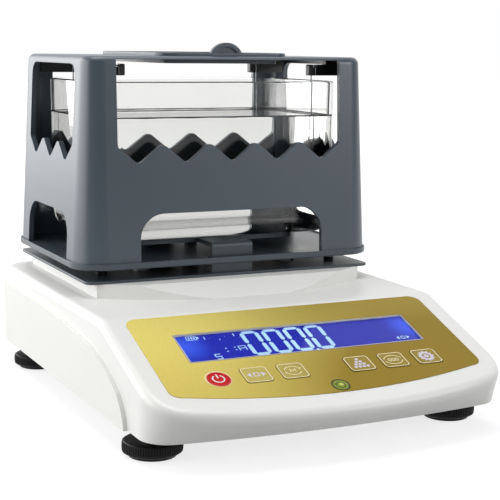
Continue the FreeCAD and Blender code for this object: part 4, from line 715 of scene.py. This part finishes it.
def key_middle(name):
    """Centre of a key's top across and down the panel, measured on its solid."""
    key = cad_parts[name]
    points = [key.matrix_world @ vertex.co / MM - SLOPE_AT for vertex in key.data.vertices]
    top = max(point.dot(OFF_SLOPE) for point in points)
    rim = [point for point in points if point.dot(OFF_SLOPE) > top - TOP_EDGE]
    across_by, down_by = [point.x for point in rim], [-point.dot(UP_SLOPE) for point in rim]
    return (min(across_by) + max(across_by)) / 2, (min(down_by) + max(down_by)) / 2


for name in KEYS:
    x, down = key_middle(name)
    print(name, "is at", round(x, 1), round(down, 1))
    half_x, half_y = KEY_HALF_X - OUTLINE_IN, KEY_HALF_Y - OUTLINE_IN
    bm = bmesh.new()
    ribbon(bm, round_path(x - half_x, x + half_x, down - half_y, down + half_y, OUTLINE_CORNER),
           OUTLINE_WIDTH, ON_CAP, closed=True)
    make_piece(name + "_outline", bm, ink_cream, name)

# %% Symbols on the keys
SYMBOL_SCALE = 1.22


def draw_arrows(bm, x, down):
    for side in (-1, 1):
        slab(bm, [(x + 4.2 * side, down), (x + 2.2 * side, down - 1.5),
                  (x + 2.2 * side, down + 1.5)], ON_CAP)
    ribbon(bm, round_path(x - 1.1, x + 1.1, down - 1.1, down + 1.1, 0.3, 2), 0.5, ON_CAP, closed=True)


def draw_turning(bm, x, down):
    for start, side in ((200, 1), (20, -1)):
        ribbon(bm, arc(x, down, 3.6, start, start + 140, 14, 0.8), 0.45, ON_CAP)
        tip_x, tip_down = arc(x, down, 3.6, start + 140, start + 140, 1, 0.8)[0]
        slab(bm, [(tip_x - 0.7, tip_down - 0.6 * side), (tip_x + 0.7, tip_down - 0.6 * side),
                  (tip_x, tip_down + 0.8 * side)], ON_CAP)
    ribbon(bm, [(x - 1.1, down + 0.9), (x - 1.1, down - 0.9), (x, down + 0.2), (x + 1.1, down - 0.9),
                (x + 1.1, down + 0.9)], 0.4, ON_CAP)


def draw_heap(bm, x, down):
    for row in range(4):
        for place in range(row + 1):
            slab(bm, arc(x + (place - row / 2) * 1.9, down - 2.9 + row * 1.75, 0.8, 0, 330, 11), ON_CAP)


def draw_oval(bm, x, down):
    for start in (195, 15):
        ribbon(bm, arc(x, down, 4.2, start, start + 150, 16, 0.72), 0.42, ON_CAP)
    for step in (-1.7, 0.0, 1.7):
        ribbon(bm, round_path(x + step - 0.55, x + step + 0.55, down - 0.9, down + 0.9, 0.3, 2), 0.35,
               ON_CAP, closed=True)


def draw_gear(bm, x, down):
    for radius, stop, steps, width in ((2.5, 350, 35, 1.3), (0.75, 340, 17, 0.9)):
        ribbon(bm, arc(x, down, radius, 0, stop, steps), width, ON_CAP, closed=True)
    for tooth in range(12):
        ribbon(bm, [arc(x, down, r, tooth * 30, tooth * 30, 1)[0] for r in (3.1, 3.7)], 0.8, ON_CAP)


SYMBOLS = {"key_one": (draw_arrows, ink_lilac), "key_two": (draw_turning, ink_cream),
           "key_three": (draw_heap, ink_lilac), "key_four": (draw_oval, ink_cream),
           "key_five": (draw_gear, ink_lilac)}
for name, (draw, ink) in SYMBOLS.items():
    x, down = key_middle(name)
    bm = bmesh.new()
    draw(bm, x, down)
    bmesh.ops.scale(bm, vec=[SYMBOL_SCALE] * 3, verts=bm.verts,
                    space=Matrix.Translation(-on_slope(x, down, CAP_TOP)))
    symbol = make_piece(name + "_symbol", bm, ink, name)
    print(symbol.name, len(symbol.data.polygons), "faces")

# %% Broken ring on the power key
def draw_power(bm):
    x, down = key_middle("power_key")
    ribbon(bm, arc(x, down + 0.2, 2.9, -58, 238, 30), 0.7, ON_CAP)
    ribbon(bm, [(x, down - 3.5), (x, down - 0.3)], 0.7, ON_CAP)


power_symbol = print_piece("power_symbol", draw_power, ink_white, "power_key")
print("power symbol:", len(power_symbol.data.polygons), "faces")

# %% [markdown]
# ## The spirit level
# The round level in the panel has a dark ring at its rim, a thin target ring around its
# middle, and a bubble. The bubble is a shallow dome, paler and glossier than the liquid. A
# bubble inside a second liquid would be truer, but under three millimetres nobody could tell.

# %% Rings and bubble of the level
VIAL_DOWN = 56.6
BUBBLE_AT, BUBBLE_RADIUS, BUBBLE_RISE, BUBBLE_STEPS = (0.5, 56.3), 1.35, 0.35, 5


def draw_level_rings(bm):
    for radius, width in ((4.35, 0.7), (2.3, 0.4)):
        ribbon(bm, arc(0, VIAL_DOWN, radius, 0, 350, 35), width, ON_VIAL, closed=True)


def draw_bubble(bm):
    foot = ON_VIAL[0]
    rings = []
    for step in range(BUBBLE_STEPS):
        angle = step / BUBBLE_STEPS * pi / 2
        rings.append([on_slope(x, down, foot + BUBBLE_RISE * sin(angle))
                      for x, down in arc(*BUBBLE_AT, BUBBLE_RADIUS * cos(angle), 0, 345, 23)])
    last = stack(bm, rings)
    tip = bm.verts.new(on_slope(*BUBBLE_AT, foot + BUBBLE_RISE))
    for at in range(len(last)):
        bm.faces.new((last[at], last[(at + 1) % len(last)], tip))


level_rings = print_piece("level_rings", draw_level_rings, vial_dark, "base")
level_bubble = print_piece("level_bubble", draw_bubble, vial_bubble, "base", smooth=True)
print("level:", len(level_rings.data.polygons) + len(level_bubble.data.polygons), "faces")

# %% [markdown]
# ## Shapes that grow from rules
# A knurled wheel and a thread repeat one small form many times. Such pieces are grown by
# Geometry Nodes: the tree says how the form is made and repeated, and its named inputs
# give the sizes. Modelling each rib by hand would take longer and couldn't be changed. The
# result is then kept as a plain mesh, so that nothing has to be evaluated again.

# %% Growing a piece
def new_rule(name, sizes):
    """A tree with one named input for each size, and one for the finish."""
    rule = bpy.data.node_groups.new(name, "GeometryNodeTree")
    rule.interface.new_socket("Geometry", in_out="OUTPUT", socket_type="NodeSocketGeometry")
    for title in sizes:
        kind = "NodeSocketInt" if title == "Ribs" else "NodeSocketFloat"
        rule.interface.new_socket(title, in_out="INPUT", socket_type=kind)
    rule.interface.new_socket("Finish", in_out="INPUT", socket_type="NodeSocketMaterial")
    return rule, rule.nodes.new("NodeGroupInput").outputs


def halfway(rule, first, second):
    """The middle of two sizes."""
    return maths(rule, "MULTIPLY", maths(rule, "ADD", first, second), 0.5)


def raised(rule, form, height):
    """A form moved up by one size."""
    up = add(rule, "ShaderNodeCombineXYZ", {"Z": height})
    return add(rule, "GeometryNodeTransform", {
        "Geometry": form, "Translation": up.outputs["Vector"]}).outputs["Geometry"]


def swept_ring(rule, inner, outer, low, high, bevel):
    """A ring with a rounded rectangle as its section."""
    section = add(rule, "GeometryNodeCurvePrimitiveQuadrilateral", {
        "Width": maths(rule, "SUBTRACT", outer, inner), "Height": maths(rule, "SUBTRACT", high, low)})
    soft = add(rule, "GeometryNodeFilletCurve", {
        "mode": "POLY", "Curve": section.outputs["Curve"], "Count": 4, "Radius": bevel})
    round_by = add(rule, "GeometryNodeCurvePrimitiveCircle", {
        "Resolution": 72, "Radius": halfway(rule, inner, outer)})
    swept = add(rule, "GeometryNodeCurveToMesh", {
        "Curve": round_by.outputs["Curve"], "Profile Curve": soft.outputs["Curve"]})
    return raised(rule, swept.outputs["Mesh"], halfway(rule, low, high))


def close_rule(rule, parts, finish):
    """Join the parts, make instances real, set the finish and put it all out."""
    joined = rule.nodes.new("GeometryNodeJoinGeometry")
    for part in parts:
        rule.links.new(part, joined.inputs["Geometry"])
    real = add(rule, "GeometryNodeRealizeInstances", {"Geometry": joined.outputs["Geometry"]})
    painted = add(rule, "GeometryNodeSetMaterial", {
        "Geometry": real.outputs["Geometry"], "Material": finish})
    end = rule.nodes.new("NodeGroupOutput")
    rule.links.new(painted.outputs["Geometry"], end.inputs["Geometry"])


def grow(prefix, solid, rule, sizes, finish):
    """Run a tree with a solid's own measures and sizes in mm, and let the mesh replace it."""
    lo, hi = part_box(solid)
    values = {"Radius": (hi.x - lo.x) / 2 / MM, "Low": lo.z / MM, "High": hi.z / MM,
              "Finish": finish, **sizes}
    seed = bpy.data.objects.new(prefix + solid, bpy.data.meshes.new(prefix + solid + "_seed"))
    bpy.context.scene.collection.objects.link(seed)
    modifier = seed.modifiers.new("rule", "NODES")
    modifier.node_group = rule
    for item in rule.interface.items_tree:
        if item.in_out == "INPUT":
            value = values[item.name]
            modifier[item.identifier] = value * MM if isinstance(value, float) else value
    grown = bpy.data.meshes.new_from_object(seed.evaluated_get(bpy.context.evaluated_depsgraph_get()))
    seed.modifiers.clear()
    seed.data = grown
    grown.transform(Matrix.Translation(((lo.x + hi.x) / 2, (lo.y + hi.y) / 2, 0)))
    bm = bmesh.new()
    bm.from_mesh(grown)
    bmesh.ops.recalc_face_normals(bm, faces=bm.faces)
    bm.to_mesh(grown)
    bm.free()
    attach(seed, solid)
    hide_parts(solid)
    return seed


CORNERS = ("front_left", "front_right", "rear_left", "rear_right")
print("growing helpers ready")

# %% [markdown]
# ## Knurled wheels
# Each foot is turned by hand, so its wheel is ribbed. The ring is swept round a circle, and
# one slender rib is repeated around it. The ribs stand as far out as the solid's rim.

# %% Four wheels
WHEEL_SIZES = {"Bore": 3.2, "Bevel": 1.1, "Rib": 0.5, "Ribs": 72}
RIB_SHARE = 0.44

wheel_rule, size = new_rule("knurled_wheel", ("Radius", "Low", "High", *WHEEL_SIZES))
flank = maths(wheel_rule, "SUBTRACT", size["Radius"], size["Rib"])
body_ring = swept_ring(wheel_rule, size["Bore"], flank, size["Low"], size["High"], size["Bevel"])
tall = maths(wheel_rule, "SUBTRACT", size["High"], size["Low"])
rib = add(wheel_rule, "GeometryNodeMeshUVSphere", {"Segments": 8, "Rings": 6, "Radius": size["Rib"]})
stretch = maths(wheel_rule, "DIVIDE", maths(wheel_rule, "MULTIPLY", tall, RIB_SHARE), size["Rib"])
rim = add(wheel_rule, "GeometryNodeMeshCircle", {"Vertices": size["Ribs"], "Radius": flank})
ribs = add(wheel_rule, "GeometryNodeInstanceOnPoints", {
    "Points": raised(wheel_rule, rim.outputs["Mesh"], halfway(wheel_rule, size["Low"], size["High"])),
    "Instance": rib.outputs["Mesh"],
    "Scale": add(wheel_rule, "ShaderNodeCombineXYZ", {"X": 1.0, "Y": 1.0, "Z": stretch}).outputs["Vector"]})
close_rule(wheel_rule, [body_ring, ribs.outputs["Instances"]], size["Finish"])

for corner in CORNERS:
    wheel = grow("knurled_", "foot_wheel_" + corner, wheel_rule, WHEEL_SIZES, nylon_black)
    print(wheel.name, len(wheel.data.polygons), "faces")

# %% [markdown]
# ## Threaded studs
# A stud carries the wheel and climbs one millimetre with each turn. Its thread is a ridge
# with three corners, swept along a right-handed spiral around the core. A bump on a
# smooth stud would look alike from the front, but its outline would stay straight.

# %% Four studs
STUD_SIZES = {"Crest": 3.0, "Depth": 0.5, "Pitch": 1.0, "Sole Height": 1.5}
RIDGE_SHARE, SOLE_BORE, SOLE_BEVEL = 0.7, 0.9, 0.35

stud_rule, size = new_rule("threaded_stud", ("Radius", "Low", "High", *STUD_SIZES))
root = maths(stud_rule, "SUBTRACT", size["Crest"], size["Depth"])
length = maths(stud_rule, "SUBTRACT", size["High"], size["Low"])
core = add(stud_rule, "GeometryNodeMeshCylinder", {"Vertices": 32, "Radius": root, "Depth": length})
core_up = raised(stud_rule, core.outputs["Mesh"], halfway(stud_rule, size["Low"], size["High"]))
ridge_low = maths(stud_rule, "ADD", size["Sole Height"], size["Pitch"])
ridge_high = maths(stud_rule, "SUBTRACT", size["High"], size["Pitch"])
ridge_tall = maths(stud_rule, "SUBTRACT", ridge_high, ridge_low)
ridge_wide = maths(stud_rule, "MULTIPLY", size["Depth"], RIDGE_SHARE)
ridge_at = maths(stud_rule, "SUBTRACT", size["Crest"], ridge_wide)
spiral = add(stud_rule, "GeometryNodeCurveSpiral", {
    "Resolution": 24, "Rotations": maths(stud_rule, "DIVIDE", ridge_tall, size["Pitch"]),
    "Start Radius": ridge_at, "End Radius": ridge_at, "Height": ridge_tall})
ridge_form = add(stud_rule, "GeometryNodeCurvePrimitiveCircle", {"Resolution": 3, "Radius": ridge_wide})
ridge = add(stud_rule, "GeometryNodeCurveToMesh", {
    "Curve": spiral.outputs["Curve"], "Profile Curve": ridge_form.outputs["Curve"], "Fill Caps": True})
sole = swept_ring(stud_rule, maths(stud_rule, "MULTIPLY", root, SOLE_BORE), size["Radius"], size["Low"],
                  size["Sole Height"], maths(stud_rule, "MULTIPLY", size["Sole Height"], SOLE_BEVEL))
close_rule(stud_rule, [core_up, raised(stud_rule, ridge.outputs["Mesh"], ridge_low), sole], size["Finish"])

for corner in CORNERS:
    stud = grow("threaded_", "foot_stud_" + corner, stud_rule, STUD_SIZES, stud_steel)
    print(stud.name, len(stud.data.polygons), "faces", [round(v / MM, 2) for v in stud.dimensions])

# %% [markdown]
# ## The floor and the backdrop
# The instrument stands on plain white paper that runs into the background. For the camera,
# for reflections and through clear pieces, floor and world are white. For all other light
# they stay moderate, so the object isn't washed out. A floor that simply glows would lose
# its shadow, and one that doesn't would end in a grey horizon. So its glow grows with the
# distance from the instrument: near it the lamps do most of the work and a soft shadow
# shows, and far away the floor is as white as the world behind it.
#
# A studio is white behind the object and dim behind the camera, and reflections show that
# too. So a ray that was mirrored once sees white towards the back and a darker room towards
# the front, and the clear and glossy walls that face the camera aren't veiled.

# %% White for some rays
def white_rays(tree, mirrored):
    """One for rays from the camera and through clear pieces, and a share for mirrored rays."""
    rays = add(tree, "ShaderNodeLightPath", {})
    seen = maths(tree, "MAXIMUM", rays.outputs["Is Camera Ray"], rays.outputs["Is Glossy Ray"])
    seen = maths(tree, "MAXIMUM", seen, rays.outputs["Is Transmission Ray"])
    return maths(tree, "MULTIPLY", seen, ramp(tree, rays.outputs["Glossy Depth"], 1.0, mirrored))


# %% Floor
FLOOR_HALF = 6.0
# The glow at the instrument, and the distances where it starts to grow and is full.
NEAR_GLOW, GROWS_FROM, FULL_FROM = 0.76, 0.25, 1.4
# The share that mirrored rays see in front, and the places where it ends and white begins.
FRONT_SHARE, FRONT_Y, BACK_Y = 0.25, -0.7, -0.2

floor_mesh = bpy.data.meshes.new("floor")
corners = [(x * FLOOR_HALF, y * FLOOR_HALF, 0) for x, y in ((-1, -1), (1, -1), (1, 1), (-1, 1))]
floor_mesh.from_pydata(corners, [], [(0, 1, 2, 3)])
floor = bpy.data.objects.new("floor", floor_mesh)
bpy.context.scene.collection.objects.link(floor)

floor_paper, tree, shader, spot = new_finish("paper_white_floor")
tree.nodes.remove(shader)
away = add(tree, "ShaderNodeVectorMath", {"operation": "LENGTH", "Vector": spot})
split = add(tree, "ShaderNodeSeparateXYZ", {"Vector": spot})
behind = ramp(tree, split.outputs["Y"], FRONT_SHARE, 1.0, FRONT_Y, BACK_Y, SOFT)
paper = add(tree, "ShaderNodeBsdfDiffuse", {"Color": linear("#AAAAAA")})
glow = add(tree, "ShaderNodeEmission", {
    "Color": linear("#FFFFFF"),
    "Strength": ramp(tree, away.outputs["Value"], NEAR_GLOW, 1.0, GROWS_FROM, FULL_FROM, SOFT)})
both = add(tree, "ShaderNodeAddShader", {
    "Shader": paper.outputs["BSDF"], "Shader_001": glow.outputs["Emission"]})
blend = add(tree, "ShaderNodeMixShader", {
    "Fac": white_rays(tree, behind), "Shader": paper.outputs["BSDF"], "Shader_001": both.outputs["Shader"]})
put(tree.nodes["Material Output"], "Surface", blend.outputs["Shader"])
floor_mesh.materials.append(floor_paper)
print("floor is", 2 * FLOOR_HALF, "m wide")

# %% World
AMBIENT, HORIZON = 0.26, 0.3
world = bpy.data.worlds.new("studio")
bpy.context.scene.world = world
world.use_nodes = True
tree = world.node_tree
direction = add(tree, "ShaderNodeTexCoord", {})
split = add(tree, "ShaderNodeSeparateXYZ", {"Vector": direction.outputs["Generated"]})
behind = ramp(tree, split.outputs["Y"], 0.0, 1.0, -HORIZON, HORIZON, SOFT)
fill(tree.nodes["Background"], {
    "Color": linear("#FFFFFF"), "Strength": ramp(tree, white_rays(tree, behind), AMBIENT, 1.0)})
print("ambient light", AMBIENT)

# %% [markdown]
# ## Lamps
# The picture's light comes from a wide softbox at the left, a little behind the instrument.
# It makes the left walls bright, and the gloss of the slate plastic mirrors it there, while
# the front walls stay clearly darker. The round posts of the rack show how it fades. A lamp
# above lights the deck and the panel, and a small one at the front right keeps the skirt
# from going grey. Arches and the gap under the tray stay dark, because nothing faces them.

# %% Soft lamps
def soft_lamp(name, at, width, height, power):
    """A rectangular area lamp that looks at the middle of the instrument."""
    data = bpy.data.lights.new(name, "AREA")
    data.shape = "RECTANGLE"
    data.size = width
    data.size_y = height
    data.energy = power
    lamp = bpy.data.objects.new(name, data)
    lamp.location = at
    lamp.rotation_euler = (Vector((0, 0, 0.09)) - Vector(at)).to_track_quat("-Z", "Y").to_euler()
    bpy.context.scene.collection.objects.link(lamp)


soft_lamp("left_softbox", (-1.20, 0.80, 0.50), 2.8, 1.0, 26.5)
soft_lamp("top_lamp", (-0.10, 0.0, 1.35), 0.9, 0.9, 9.0)
soft_lamp("fill_lamp", (0.90, -1.10, 0.60), 0.6, 0.6, 6.6)
bpy.context.scene.view_settings.view_transform = "Standard"
print("lamps:", len(bpy.data.lights))
